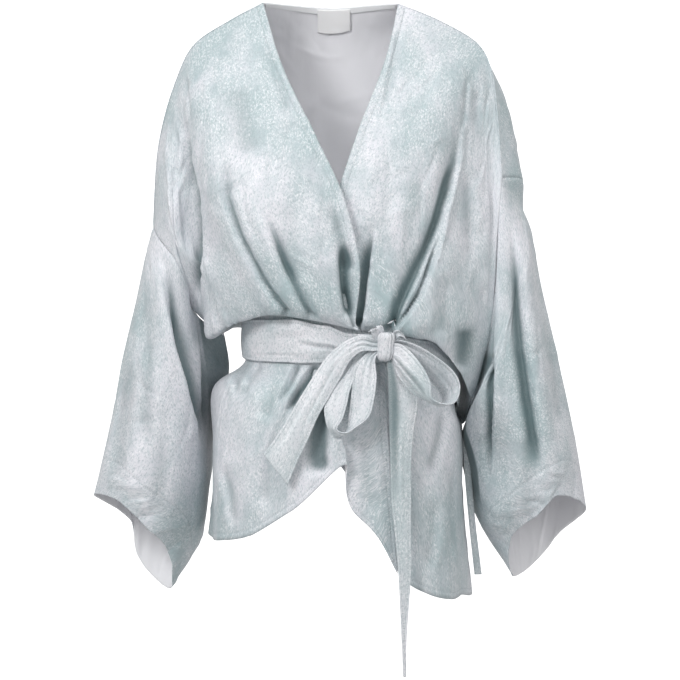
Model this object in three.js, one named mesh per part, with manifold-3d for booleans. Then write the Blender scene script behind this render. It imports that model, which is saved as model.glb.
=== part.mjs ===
// A wrap kimono top of light cloth, filled out as if worn, its sash tied in a bow in front.
// Millimetres. +X is the wearer's left, -Y the front, +Z up. The origin is the middle of the wearer's
// neck, level with the shoulder seams. Every piece is a wall of cloth of its own, parted at the seams.

import * as THREE from "three";
import Module from "manifold-3d";
import { mergeVertices } from "three/addons/utils/BufferGeometryUtils.js";

const wasm = await Module();
wasm.setup();

// Driving sizes
const CLOTH = 1.6; // wall of a body or sleeve piece
const SASH_CLOTH = 2.2; // the sash is two layers
const SEAM_GAP = 0.3; // space left between pieces that are sewn together
const SASH_WIDTH = 50;
const WAIST = { x: 13, y: 5, halfWidth: 130, halfDepth: 103, squareness: 2.4 };
const WRAP_STEP = 5.5; // how far the outer front stands off the inner one at the waist
const NECK_BAND = { height: 9, thick: 1.0, columns: 38, clear: 0.75, endMargin: 0.25 };
const LABEL = { x: -7.5, top: 0, width: 42, height: 32, thick: 0.8 };

// Steps of the mesh: across a front, round the back of the neck, and down each span of the tables
const FRONT_COLUMNS = 18;
const NECK_COLUMNS = 10;
const FRONT_ARM_STEPS = [3, 3, 3, 3, 2];
const BACK_ARM_STEPS = [2, 2, 3, 3, 2, 2];
const LOWER_STEPS = [2, 1, 2, 2, 2, 3];
const SLEEVE_STEPS = [2, 2, 2, 3, 2, 3];
const ARM_ROWS = FRONT_ARM_STEPS.reduce((a, b) => a + b);

const vec = (x, y, z) => new THREE.Vector3(x, y, z);
const mix = (a, b, t) => a.clone().lerp(b, t);
const clamp = THREE.MathUtils.clamp;
const smooth = THREE.MathUtils.smoothstep;

// The points of a table row, three numbers to a station
function stations(row) {
  const points = [];
  for (let i = 0; i < row.length; i += 3) points.push(vec(row[i], row[i + 1], row[i + 2]));
  return points;
}

// A smooth line through points, with its own number of steps on each span
function line(points, steps) {
  const curve = new THREE.CatmullRomCurve3(points, false, "centripetal");
  const spans = points.length - 1;
  const out = [];
  steps.forEach((count, span) => {
    for (let k = 0; k < count; k++) out.push(curve.getPoint((span + k / count) / spans));
  });
  out.push(points[spans].clone());
  return out;
}

// The same line at equal steps of its parameter, or at the parameters given by a list
function lineAt(points, parameters) {
  const curve = new THREE.CatmullRomCurve3(points, false, "centripetal");
  return parameters.map((t) => curve.getPoint(t));
}
const equalSteps = (count) => Array.from({ length: count + 1 }, (_, i) => i / count);

// A number that changes smoothly between the rows of a table of [at, value]
function ramp(table, at) {
  const last = table.length - 1;
  if (at <= table[0][0]) return table[0][1];
  if (at >= table[last][0]) return table[last][1];
  const i = table.findIndex(([t]) => t > at) - 1;
  const [[t0, a], [t1, b]] = [table[i], table[i + 1]];
  return a + (b - a) * smooth(at, t0, t1);
}

// The waist under the sash. Angle 0 is the front, 90 the wearer's left, 180 the back.
const SASH_HEIGHT = [
  [-90, -411],
  [-30, -413],
  [-9, -417],
  [0, -422],
  [20, -424],
  [40, -432],
  [60, -450],
  [90, -472],
  [135, -464],
  [180, -448],
  [225, -428],
  [270, -411],
];
// The share of its width that the sash keeps, gathered in towards the knot
const SASH_TAPER = [
  [-90, 0.88],
  [-50, 1],
  [-25, 1.04],
  [-9, 0.9],
  [0, 0.7],
  [16, 0.6],
  [40, 0.76],
  [70, 0.92],
  [180, 1],
  [270, 0.88],
];
function waist(degrees, offset, z) {
  const a = THREE.MathUtils.degToRad(degrees);
  const power = 2 / WAIST.squareness;
  const part = (s) => Math.sign(s) * Math.abs(s) ** power;
  return vec(
    WAIST.x + (WAIST.halfWidth + offset) * part(Math.sin(a)),
    WAIST.y - (WAIST.halfDepth + offset) * part(Math.cos(a)),
    z,
  );
}
const allRound = (table, degrees) => ramp(table, degrees < -90 ? degrees + 360 : degrees);
const sashHeight = (degrees) => allRound(SASH_HEIGHT, degrees);
const sashWidth = (degrees) => SASH_WIDTH * allRound(SASH_TAPER, degrees);

// How far the outermost front stands off the waist: the outer front covers the inner one in front only
const WRAP_OFFSET = [
  [-90, 0],
  [-45, WRAP_STEP],
  [24, WRAP_STEP],
  [44, 0],
];
const wrapOffset = (degrees) => ramp(WRAP_OFFSET, degrees);

// The rows of a panel at the sash, from the angles of its stations: where the blouse turns in over the
// sash, where it goes under it, and where it comes out again, each past the sash's edge
const TUCK = { turn: 4, turnOut: 9, above: 6, below: 4 };
function sashRows(topAngles, bottomAngles, offset, turnOut) {
  const row = (angles, side, past, out) =>
    angles.map((a, i) => {
      const z = sashHeight(a) + side * (sashWidth(a) / 2 + past);
      return waist(a, offset(a) + (out[i] ?? 0), z);
    });
  return [
    row(topAngles, 1, TUCK.turn, turnOut ?? topAngles.map(() => TUCK.turnOut)),
    row(topAngles, 1, TUCK.above, []),
    row(bottomAngles, -1, TUCK.below, []),
  ];
}

// The fronts. Stations: wrap edge, collar, chest, armpit, arm, seam
const RIGHT_FRONT = {
  shoulder: [-95, 8, 4, -135, 10, -17, -181, 14, -48, -203, 14, -92, -224, 12, -170, -231, 10, -273],
  yoke: [-69, -45, -81, -131, -52, -97, -178, -38, -112, -197, -20, -143, -214, -25, -203, -222, -22, -288],
  chest: [
    -26, -90, -172, -96, -100, -184, -151, -82, -201,
    -183, -35, -217, -204, -48, -248, -200, -46, -315,
  ],
  bust: [
    6, -112, -245, -66, -122, -263, -126, -105, -274,
    -174, -42, -290, -195, -50, -296, -186, -34, -342,
  ],
  ribs: [
    24, -120, -328, -42, -128, -328, -98, -115, -334,
    -151, -72, -339, -166, -43, -345, -181, -8, -374,
  ],
  blouse: [
    19, -114, -393, -24, -122, -384, -66, -116, -377,
    -126, -80, -391, -160, -42, -409, -143, 18, -403,
  ],
  sashTopAngles: [2, -12, -32, -52, -71, -90],
  sashBottomAngles: [14, -12, -32, -52, -71, -90],
  flare: [55, -114, -478, -4, -122, -474, -48, -121, -472, -96, -105, -471, -136, -61, -464, -156, -5, -469],
  hip: [60, -119, -560, 3, -128, -517, -55, -129, -530, -108, -112, -535, -145, -65, -535, -157, -5, -535],
  hem: [69, -122, -691, 8, -130, -577, -60, -136, -617, -107, -122, -645, -147, -75, -654, -157, -12, -654],
};
const LEFT_FRONT = {
  shoulder: [72, 8, 3, 123, 8, -18, 171, 5, -48, 186, -8, -80, 193, -20, -143, 197, -34, -214],
  yoke: [55, -40, -71, 97, -55, -97, 139, -50, -102, 174, -25, -119, 185, -25, -168, 195, -36, -242],
  chest: [22, -82, -159, 66, -98, -184, 108, -92, -190, 152, -55, -200, 180, -38, -230, 192, -36, -285],
  bust: [-2, -96, -232, 42, -110, -257, 86, -112, -263, 130, -82, -273, 168, -52, -297, 190, -36, -339],
  ribs: [-22, -100, -304, 21, -106, -322, 69, -115, -328, 120, -98, -340, 160, -68, -364, 185, -34, -394],
  blouse: [
    -30, -103, -378, 12, -105, -386, 62, -114, -398,
    112, -104, -415, 143, -72, -448, 161, -12, -483,
  ],
  sashTopAngles: [-20, 2, 24, 46, 68, 90],
  sashBottomAngles: [-24, 0, 24, 46, 68, 90],
  turnOut: [0, 0, 6, 9, 9, 9],
  flare: [-24, -102, -472, 20, -104, -478, 64, -107, -486, 106, -95, -500, 138, -55, -510, 150, -5, -522],
  hip: [-20, -104, -505, 30, -108, -540, 72, -112, -562, 108, -106, -575, 138, -70, -582, 150, -20, -590],
  hem: [-10, -106, -550, 30, -110, -602, 76, -114, -698, 106, -114, -716, 134, -88, -724, 148, -45, -722],
};

// The back. Stations: right seam, right arm, right blade, spine, left blade, left arm, left seam
const BACK = {
  fold: [
    -229, 26, -280, -206, 40, -108, -142, 52, -36, -12, 84, -28, 131, 50, -34, 194, 18, -92, 224, 0, -214,
  ],
  blades: [
    -224, 42, -296, -212, 64, -170, -150, 88, -90, -12, 98, -78, 138, 86, -88, 205, 52, -150, 227, 34, -226,
  ],
  chest: [
    -212, 54, -318, -200, 72, -245, -142, 100, -185, -12, 106, -165, 134, 98, -182, 205, 74, -225, 224, 56,
    -258,
  ],
  bust: [
    -199, 50, -342, -180, 78, -300, -128, 104, -270, -8, 108, -255, 128, 102, -268, 192, 80, -300, 210, 60,
    -308,
  ],
  ribs: [
    -184, 30, -373, -162, 70, -355, -115, 102, -345, 0, 108, -340, 118, 104, -352, 172, 76, -380, 187, 46,
    -392,
  ],
  blouse: [
    -143, 18, -403, -132, 60, -394, -98, 96, -397, 8, 112, -402, 108, 104, -428, 138, 58, -440, 161, -12,
    -483,
  ],
  sashAngles: [270, 240, 215, 180, 145, 120, 90],
  flare: [
    -156, -5, -469, -142, 46, -468, -100, 98, -474, 12, 107, -480, 112, 101, -492, 146, 45, -505, 150, -5,
    -522,
  ],
  hip: [
    -157, -5, -535, -145, 48, -530, -97, 102, -522, 10, 113, -515,
    112, 107, -535, 148, 42, -575, 150, -20, -590,
  ],
  hem: [
    -157, -12, -654, -162, 32, -648, -104, 112, -600, 10, 126, -566,
    116, 120, -630, 163, 14, -722, 148, -45, -722,
  ],
};
const NECK_BACK = [-95, 8, 4, -60, 50, 5, -12, 70, 4, 38, 50, 5, 72, 8, 3];
const BACK_KNOTS = [0, 0.16, 0.3, 0.5, 0.7, 0.84, 1]; // where the stations lie across the back

// The sleeves. A ring runs from the top edge over the front to the inner corner, under the arm, and back.
const SLEEVE_COLUMNS = ["topX", "topZ", "crest", "inX", "inY", "inZ", "underX", "underY", "underZ", "back"];
const RIGHT_SLEEVE = {
  rings: [
    [-239, -306, 44, -175, -16, -430, -138, 50, -449, 58],
    [-251, -363, 50, -172, -20, -466, -150, 82, -488, 62],
    [-266, -427, 54, -175, -14, -514, -158, 90, -532, 64],
    [-279, -496, 56, -174, -8, -580, -166, 78, -592, 58],
    [-291, -553, 54, -187, -4, -642, -174, 58, -660, 54],
  ],
  cuff: [
    -303, 5, -603, -270, -40, -608, -236, -46, -640, -211, -20, -668, -208, 8, -717, -232, 42, -706, -252,
    52, -680, -262, 46, -636,
  ],
};
const LEFT_SLEEVE = {
  rings: [
    [234, -272, 44, 180, -31, -460, 159, 33, -523, 57],
    [247, -341, 50, 166, -32, -507, 155, 74, -552, 62],
    [263, -410, 54, 171, -30, -552, 161, 66, -590, 64],
    [278, -478, 56, 175, -28, -598, 168, 54, -622, 60],
    [292, -547, 54, 185, -24, -636, 182, 34, -651, 54],
  ],
  cuff: [
    303, 0, -619, 264, -44, -602, 240, -46, -626, 210, -22, -653, 211, 5, -701, 228, 34, -699, 254, 48,
    -676, 272, 40, -652,
  ],
};

// Folds run down the cloth along a path of [x, z]. A dip is a trough. A lap is a lip with a dip beside
// it: lip 1 puts the lip on the +X side and lip -1 on the other.
const RIGHT_FRONT_FOLDS = [
  {
    name: "arm crease", lip: 1, width: 9, depth: 7,
    path: [[-198, -119], [-187, -192], [-174, -290], [-168, -395]],
  },
  {
    name: "side fold", lip: -1, width: 10, depth: 5,
    path: [[-142, -200], [-136, -239], [-108, -320], [-66, -380]],
  },
  { name: "rib fold", lip: -1, width: 9, depth: 4, path: [[-84, -280], [-73, -304], [-36, -384]] },
  {
    name: "edge hollow", lip: 0, width: 13, depth: 7,
    path: [[-8, -262], [8, -310], [6, -350], [8, -384]],
  },
  {
    name: "left gather", lip: 0, width: 8, depth: 5,
    path: [[-50, -442], [-62, -464], [-82, -494]],
  },
  {
    name: "right gather", lip: 0, width: 9, depth: 5,
    path: [[-33, -450], [-46, -474], [-58, -496]],
  },
  {
    name: "hip gather", lip: 0, width: 8, depth: 4,
    path: [[-112, -440], [-120, -462], [-128, -490]],
  },
  {
    name: "hem crease", lip: -1, width: 9, depth: 4,
    path: [[-142, -565], [-130, -604], [-124, -640]],
  },
  {
    name: "tail hollow", lip: 0, width: 14, depth: 8,
    path: [[-20, -470], [-26, -530], [-22, -556]],
  },
];
const LEFT_FRONT_FOLDS = [
  {
    name: "wrap fold", lip: 1, width: 11, depth: 7,
    path: [[150, -148], [138, -214], [119, -267], [91, -329], [66, -390]],
  },
  {
    name: "collar ridge", lip: 0, width: 14, depth: -4,
    path: [[112, -150], [98, -230], [72, -320], [50, -380]],
  },
  {
    name: "arm crease", lip: -1, width: 8, depth: 4,
    path: [[172, -120], [172, -220], [170, -330], [166, -420]],
  },
  { name: "loop fold", lip: 0, width: 12, depth: 6, path: [[132, -500], [122, -540], [106, -574]] },
  { name: "hip fold", lip: 0, width: 14, depth: 5, path: [[128, -600], [112, -645], [96, -690]] },
  { name: "small gather", lip: 0, width: 8, depth: 4, path: [[90, -478], [96, -510], [94, -540]] },
];
const BACK_FOLDS = [
  {
    name: "right blade fold", lip: 1, width: 12, depth: 6,
    path: [[-176, -180], [-150, -260], [-118, -330], [-80, -396]],
  },
  {
    name: "left blade fold", lip: -1, width: 12, depth: 6,
    path: [[178, -190], [158, -270], [126, -350], [92, -410]],
  },
  {
    name: "right soft fold", lip: 0, width: 14, depth: 5,
    path: [[-96, -250], [-70, -320], [-46, -390]],
  },
  {
    name: "left soft fold", lip: 0, width: 14, depth: 5,
    path: [[96, -260], [80, -330], [58, -400]],
  },
  {
    name: "right hip fold", lip: 0, width: 12, depth: 6,
    path: [[-70, -460], [-84, -520], [-92, -590]],
  },
  { name: "spine hip fold", lip: 0, width: 13, depth: 5, path: [[8, -470], [4, -520], [6, -560]] },
  {
    name: "left hip fold", lip: 0, width: 12, depth: 6,
    path: [[82, -480], [98, -550], [112, -620]],
  },
];
const RIGHT_SLEEVE_FOLDS = [
  {
    name: "long lap", lip: -1, width: 10, depth: 8,
    path: [[-220, -300], [-215, -350], [-205, -402], [-195, -446], [-184, -484], [-174, -540]],
  },
  {
    name: "outer fold", lip: 0, width: 9, depth: 3,
    path: [[-232, -330], [-230, -440], [-234, -560]],
  },
];
const LEFT_SLEEVE_FOLDS = [
  {
    name: "long lap", lip: 1, width: 13, depth: 10,
    path: [[203, -262], [212, -300], [219, -354], [225, -424], [234, -507], [242, -590]],
  },
  { name: "inner fold", lip: 0, width: 8, depth: 4, path: [[200, -330], [202, -430], [204, -540]] },
];
const SLEEVE_BACK_FOLDS = {
  right: [
    {
      name: "elbow fold", lip: -1, width: 12, depth: 7,
      path: [[-236, -330], [-228, -420], [-226, -520], [-232, -640]],
    },
    {
      name: "under fold", lip: 0, width: 12, depth: 5,
      path: [[-200, -380], [-192, -470], [-196, -580]],
    },
  ],
  left: [
    {
      name: "elbow fold", lip: 1, width: 12, depth: 7,
      path: [[234, -310], [232, -400], [236, -500], [246, -620]],
    },
    {
      name: "under fold", lip: 0, width: 12, depth: 5,
      path: [[208, -400], [202, -500], [206, -600]],
    },
  ],
};
const FOLD_END = 0.18; // the share of a fold's length over which it fades in and out

// The nearest place on a fold's path: how far off it is, on which side, and how far along
function alongFold(path, x, z) {
  let best = { distance: Infinity, side: 1, at: 0 };
  path.slice(1).forEach(([x1, z1], i) => {
    const [x0, z0] = path[i];
    const dx = x1 - x0;
    const dz = z1 - z0;
    const t = clamp(((x - x0) * dx + (z - z0) * dz) / (dx * dx + dz * dz), 0, 1);
    const offX = x - x0 - dx * t;
    const offZ = z - z0 - dz * t;
    const distance = Math.hypot(offX, offZ);
    const side = Math.sign(dx * offZ - dz * offX) || 1;
    if (distance < best.distance) best = { distance, side, at: (i + t) / (path.length - 1) };
  });
  return best;
}

// How far one fold moves the cloth along its normal at a place
function foldHeight(fold, x, z) {
  const { distance, side, at } = alongFold(fold.path, x, z);
  const ends = smooth(at, 0, FOLD_END) * smooth(1 - at, 0, FOLD_END);
  const s = (distance * side) / fold.width;
  if (fold.lip === 0) return -fold.depth * ends * Math.exp(-s * s);
  const lip = Math.exp(-((s * fold.lip - 0.8) ** 2));
  const dip = Math.exp(-((s * fold.lip + 0.5) ** 2) * 2);
  return fold.depth * ends * (0.7 * lip - dip);
}

// Normals of a grid of points, rows down and columns across; outside is 1 or -1
function normalsOf(grid, closed, outside) {
  const rows = grid.length;
  const columns = grid[0].length;
  const wrap = (c) => (closed ? (c + columns) % columns : clamp(c, 0, columns - 1));
  return grid.map((row, r) =>
    row.map((_, c) => {
      const down = grid[Math.min(r + 1, rows - 1)][c].clone().sub(grid[Math.max(r - 1, 0)][c]);
      const across = row[wrap(c + 1)].clone().sub(row[wrap(c - 1)]);
      return across.cross(down).multiplyScalar(outside).normalize();
    }),
  );
}

// Moves the points of a panel by its folds, on the side of the garment that faces the folds' way
const SEAM_FADE = 3; // columns and rows over which folds fade out at a seam
function fold(panel, folds, facing) {
  const normals = normalsOf(panel.grid, panel.closed, panel.outside);
  const lastRow = panel.grid.length - 1;
  const lastColumn = panel.grid[0].length - 1;
  panel.grid.forEach((row, r) =>
    row.forEach((p, c) => {
      const n = normals[r][c];
      let share = smooth(n.y * facing, 0, 0.5);
      if (panel.seams.top) share *= smooth(r, 0, SEAM_FADE);
      if (panel.seams.bottom) share *= smooth(lastRow - r, 0, SEAM_FADE);
      if (panel.seams.first) share *= smooth(c, 0, SEAM_FADE);
      if (panel.seams.last) share *= smooth(lastColumn - c, 0, SEAM_FADE);
      share *= panel.sashFade ? panel.sashFade(p) : 1;
      if (share === 0) return;
      const height = folds.reduce((sum, f) => sum + foldHeight(f, p.x, p.z), 0);
      p.addScaledVector(n, height * share);
    }),
  );
}

// Folds die out where the sash presses the cloth to the waist
const SASH_REACH = 16;
function clearOfSash(p) {
  const angle = THREE.MathUtils.radToDeg(Math.atan2(p.x - WAIST.x, -(p.y - WAIST.y)));
  const edge = sashWidth(angle) / 2;
  return smooth(Math.abs(p.z - sashHeight(angle)), edge, edge + SASH_REACH);
}

// A front from its table
const UPPER_ROWS = ["shoulder", "yoke", "chest", "bust", "ribs", "blouse"];
const LOWER_ROWS = ["flare", "hip", "hem"];
function frontGrid(table, offset) {
  const upper = UPPER_ROWS.map((name) => stations(table[name]));
  const underSash = sashRows(table.sashTopAngles, table.sashBottomAngles, offset, table.turnOut);
  const lower = LOWER_ROWS.map((name) => stations(table[name]));
  const rows = [...upper, ...underSash, ...lower];
  const across = rows.map((row) => lineAt(row, equalSteps(FRONT_COLUMNS)));
  return columnsDown(across, [...FRONT_ARM_STEPS, ...LOWER_STEPS]);
}

// Smooth columns through rows that all have the same number of points
function columnsDown(across, steps) {
  const columns = across[0].map((_, c) => line(across.map((row) => row[c]), steps));
  return columns[0].map((_, r) => columns.map((column) => column[r]));
}

// The lap in the right front's hem, where its point is folded behind the rest
const HEM_LAP = { column: 0.2, width: 0.055, shift: vec(13, -5, 19), reach: 5 };
function lapHem(grid) {
  const last = grid.length - 1;
  grid.forEach((row, r) => {
    const strength = smooth(r, last - HEM_LAP.reach, last);
    row.forEach((p, c) => {
      const s = (c / (row.length - 1) - HEM_LAP.column) / HEM_LAP.width;
      p.addScaledVector(HEM_LAP.shift, 1.65 * s * Math.exp((-s * s) / 2) * strength);
    });
  });
}

const rightFront = {
  grid: frontGrid(RIGHT_FRONT, wrapOffset),
  outside: 1,
  seams: { top: true, last: true },
  sashFade: clearOfSash,
};
lapHem(rightFront.grid);
const leftFront = {
  grid: frontGrid(LEFT_FRONT, () => 0),
  outside: -1,
  seams: { top: true, last: true },
  sashFade: clearOfSash,
};

// The back takes its top row from the fronts' shoulder seams and the neck, and its side seams from theirs
function backGrid() {
  const neck = lineAt(stations(NECK_BACK), equalSteps(NECK_COLUMNS)).slice(1, -1);
  const top = [...rightFront.grid[0]].reverse().concat(neck, leftFront.grid[0]);
  const places = equalSteps(top.length - 1).map((t) => {
    const i = clamp(BACK_KNOTS.findIndex((knot) => knot > t) - 1, 0, BACK_KNOTS.length - 2);
    const share = t === 1 ? 1 : (t - BACK_KNOTS[i]) / (BACK_KNOTS[i + 1] - BACK_KNOTS[i]);
    return ((t === 1 ? BACK_KNOTS.length - 2 : i) + share) / (BACK_KNOTS.length - 1);
  });
  const names = ["fold", "blades", "chest", "bust", "ribs", "blouse"];
  const upper = names.map((name) => stations(BACK[name]));
  const lower = ["flare", "hip", "hem"].map((name) => stations(BACK[name]));
  const rows = [...upper, ...sashRows(BACK.sashAngles, BACK.sashAngles, () => 0), ...lower];
  const grid = columnsDown([top, ...rows.map((row) => lineAt(row, places))], [
    ...BACK_ARM_STEPS,
    ...LOWER_STEPS,
  ]);
  pin(grid, 0, 1, rightFront.grid);
  pin(grid, top.length - 1, -1, leftFront.grid);
  return grid;
}

// Draws the edge of the back to the side seam of a front, below the arm, and eases its neighbours after
const PIN_REACH = 4;
function pin(grid, edge, inward, front) {
  for (let r = ARM_ROWS; r < grid.length; r++) {
    const shift = front[r].at(-1).clone().sub(grid[r][edge]);
    for (let k = 0; k < PIN_REACH; k++)
      grid[r][edge + k * inward].addScaledVector(shift, (1 - k / PIN_REACH) ** 2);
  }
}

const back = {
  grid: backGrid(),
  outside: 1,
  seams: { top: true, first: true, last: true },
  sashFade: clearOfSash,
};

// A sleeve starts at the armhole of the body pieces, so its first ring is theirs
function sleeveGrid(table, front, backEdge) {
  const armFront = front.slice(0, ARM_ROWS + 1).map((row) => row.at(-1).clone());
  const armBack = back.grid.slice(1, ARM_ROWS).map((row) => row.at(backEdge).clone());
  const armhole = [...armFront, ...armBack.reverse()];
  const round = armhole.map((_, i) => i / armhole.length);
  const rings = table.rings.map((values) => {
    const at = Object.fromEntries(SLEEVE_COLUMNS.map((name, i) => [name, values[i]]));
    const top = vec(at.topX, 5, at.topZ);
    const inner = vec(at.inX, at.inY, at.inZ);
    const under = vec(at.underX, at.underY, at.underZ);
    const place = (a, b, t, y) => mix(a, b, t).setY(y);
    return [
      top,
      place(top, inner, 0.2, -0.8 * at.crest),
      place(top, inner, 0.6, -at.crest),
      inner,
      under,
      place(under, top, 0.28, Math.max(at.back, at.underY + 6)),
      place(under, top, 0.58, at.back),
      place(under, top, 0.86, 0.75 * at.back),
    ];
  });
  const closedRing = (points) => {
    const curve = new THREE.CatmullRomCurve3(points, true, "centripetal");
    return round.map((t) => curve.getPoint(t));
  };
  const cuff = closedRing(stations(table.cuff));
  return columnsDown([armhole, ...rings.map(closedRing), cuff], SLEEVE_STEPS);
}
const rightSleeve = {
  grid: sleeveGrid(RIGHT_SLEEVE, rightFront.grid, 0),
  closed: true,
  outside: -1,
  seams: { top: true },
};
const leftSleeve = {
  grid: sleeveGrid(LEFT_SLEEVE, leftFront.grid, -1),
  closed: true,
  outside: 1,
  seams: { top: true },
};

const FRONT = -1;
const REAR = 1;
fold(rightFront, RIGHT_FRONT_FOLDS, FRONT);
fold(leftFront, LEFT_FRONT_FOLDS, FRONT);
fold(back, BACK_FOLDS, REAR);
fold(rightSleeve, RIGHT_SLEEVE_FOLDS, FRONT);
fold(rightSleeve, SLEEVE_BACK_FOLDS.right, REAR);
fold(leftSleeve, LEFT_SLEEVE_FOLDS, FRONT);
fold(leftSleeve, SLEEVE_BACK_FOLDS.left, REAR);

// Where panels meet they share one normal, so that their walls end face to face
const panels = [rightFront, leftFront, back, rightSleeve, leftSleeve];
const keyOf = (p) => [p.x, p.y, p.z].map((v) => Math.round(v * 50)).join();
const shared = new Map();
for (const panel of panels) {
  panel.normals = normalsOf(panel.grid, panel.closed, panel.outside);
  panel.grid.forEach((row, r) =>
    row.forEach((p, c) => {
      const key = keyOf(p);
      if (!shared.has(key)) shared.set(key, vec(0, 0, 0));
      shared.get(key).add(panel.normals[r][c]);
    }),
  );
}
for (const panel of panels)
  panel.normals = panel.grid.map((row) => row.map((p) => shared.get(keyOf(p)).clone().normalize()));

// Draws the sewn edges of a panel back by half the seam gap
function partAtSeams(panel) {
  const { grid, seams } = panel;
  const half = SEAM_GAP / 2 + 0.02;
  const rows = grid.length;
  const columns = grid[0].length;
  const shifts = [];
  const draw = (r, c, rIn, cIn, along) => {
    const inward = grid[rIn][cIn].clone().sub(grid[r][c]);
    inward.addScaledVector(along, -inward.dot(along)).normalize();
    shifts.push([grid[r][c], inward.multiplyScalar(half)]);
  };
  const direction = (a, b) => b.clone().sub(a).normalize();
  const wrap = (c) => (panel.closed ? (c + columns) % columns : clamp(c, 0, columns - 1));
  if (seams.top)
    for (let c = 0; c < columns; c++)
      draw(0, c, 1, c, direction(grid[0][wrap(c - 1)], grid[0][wrap(c + 1)]));
  for (let r = 0; r < rows; r++) {
    const up = Math.max(r - 1, 0);
    const down = Math.min(r + 1, rows - 1);
    if (seams.first) draw(r, 0, r, 1, direction(grid[up][0], grid[down][0]));
    if (seams.last)
      draw(r, columns - 1, r, columns - 2, direction(grid[up][columns - 1], grid[down][columns - 1]));
  }
  for (const [p, shift] of shifts) p.add(shift);
}
panels.forEach(partAtSeams);

// A closed wall: the grid is its outer face, and the inner face lies a wall's thickness inside
function wall(panel, thick) {
  const { grid, normals, closed, outside } = panel;
  const rows = grid.length;
  const columns = grid[0].length;
  const outer = grid.flat();
  const inner = outer.map((p, i) => p.clone().addScaledVector(normals.flat()[i], -thick));
  const at = (r, c) => r * columns + ((c + columns) % columns);
  const faces = [];
  const quad = (a, b, c, d) => faces.push(a, b, c, a, c, d);
  const inside = outer.length;
  const across = closed ? columns : columns - 1;
  for (let r = 0; r < rows - 1; r++)
    for (let c = 0; c < across; c++) {
      const q = [at(r, c), at(r, c + 1), at(r + 1, c + 1), at(r + 1, c)];
      quad(...q);
      quad(...q.map((i) => i + inside).reverse());
    }
  for (let c = 0; c < across; c++) {
    quad(at(0, c + 1), at(0, c), at(0, c) + inside, at(0, c + 1) + inside);
    quad(at(rows - 1, c), at(rows - 1, c + 1), at(rows - 1, c + 1) + inside, at(rows - 1, c) + inside);
  }
  if (!closed)
    for (let r = 0; r < rows - 1; r++) {
      const last = columns - 1;
      quad(at(r, 0), at(r + 1, 0), at(r + 1, 0) + inside, at(r, 0) + inside);
      quad(at(r + 1, last), at(r, last), at(r, last) + inside, at(r + 1, last) + inside);
    }
  if (outside < 0) faces.reverse();
  const geometry = new THREE.BufferGeometry();
  geometry.setAttribute(
    "position",
    new THREE.Float32BufferAttribute([...outer, ...inner].flatMap((p) => [p.x, p.y, p.z]), 3),
  );
  geometry.setIndex(faces);
  return geometry;
}

// The sash: a ring round the waist, a little crowned, that slants down to the wearer's left
const SASH = { columns: 60, rows: 4, clearance: 0.6, crown: 1.4 };
function sashGrid() {
  const fromBody = SASH.clearance + SASH_CLOTH;
  const offset = (degrees) => wrapOffset(degrees > 180 ? degrees - 360 : degrees) + fromBody;
  const grid = equalSteps(SASH.rows).map((t) =>
    equalSteps(SASH.columns)
      .slice(0, -1)
      .map((share) => {
        const degrees = -90 + 360 * share;
        const crown = SASH.crown * (1 - (2 * t - 1) ** 2);
        const z = sashHeight(degrees) + sashWidth(degrees) * (0.5 - t);
        return waist(degrees, offset(degrees) + crown, z);
      }),
  );
  return grid;
}
const sash = { grid: sashGrid(), closed: true, outside: -1 };
sash.normals = normalsOf(sash.grid, true, sash.outside);

// A ribbon from a table of its near and far edge, with a hollow across its middle
const RIBBON_COLUMNS = 4;
function ribbonGrid(table, steps) {
  const near = lineAt(table.map((row) => vec(row[0], row[1], row[2])), equalSteps(steps));
  const far = lineAt(table.map((row) => vec(row[3], row[4], row[5])), equalSteps(steps));
  const cups = equalSteps(steps).map((t) => {
    const at = t * (table.length - 1);
    const i = Math.min(Math.floor(at), table.length - 2);
    return THREE.MathUtils.lerp(table[i][6], table[i + 1][6], at - i);
  });
  const grid = near.map((p, r) => equalSteps(RIBBON_COLUMNS).map((t) => mix(p, far[r], t)));
  const normals = normalsOf(grid, false, 1);
  grid.forEach((row, r) =>
    row.forEach((p, c) => {
      const t = c / RIBBON_COLUMNS;
      p.addScaledVector(normals[r][c], cups[r] * 4 * t * (1 - t));
    }),
  );
  return grid;
}
function ribbon(table, steps, thick) {
  const panel = { grid: ribbonGrid(table, steps), outside: 1 };
  panel.normals = normalsOf(panel.grid, false, 1);
  return wall(panel, thick);
}

// Rows of the bow's ribbons. Columns: near edge x, y, z, far edge x, y, z, and how far the middle bows out
const LEFT_LOOP = [
  [45, -126, -426, 33, -120, -424, 0],
  [43, -138, -458, 20, -130, -446, -3],
  [38, -143, -480, 17, -136, -478, -3],
  [31, -147, -500, 12, -136, -502, -2],
  [19, -150, -514, 6, -136, -521, -1],
  [7, -151, -521, -4, -136, -527, 0],
  [-3, -150, -518, -13, -135, -518, 1],
  [-6, -147, -508, -18, -133, -504, 2],
  [-2, -143, -494, -18, -130, -490, 2],
  [6, -138, -478, -11, -126, -470, 2],
  [16, -128, -456, 2, -118, -450, 1],
  [32, -115, -430, 26, -112, -414, 0],
];
const RIGHT_LOOP = [
  [70, -126, -412, 66, -116, -420, 0],
  [90, -126, -418, 78, -112, -434, 1],
  [114, -126, -432, 98, -108, -452, 1],
  [135, -128, -450, 116, -106, -470, 1],
  [142, -134, -466, 122, -108, -482, 0],
  [136, -146, -485, 120, -122, -490, 0],
  [123, -152, -487, 112, -134, -488, -1],
  [109, -152, -480, 104, -138, -484, -2],
  [107, -150, -462, 94, -140, -474, -3],
  [94, -146, -439, 80, -136, -458, -3],
  [70, -132, -418, 64, -124, -440, 0],
];
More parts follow.
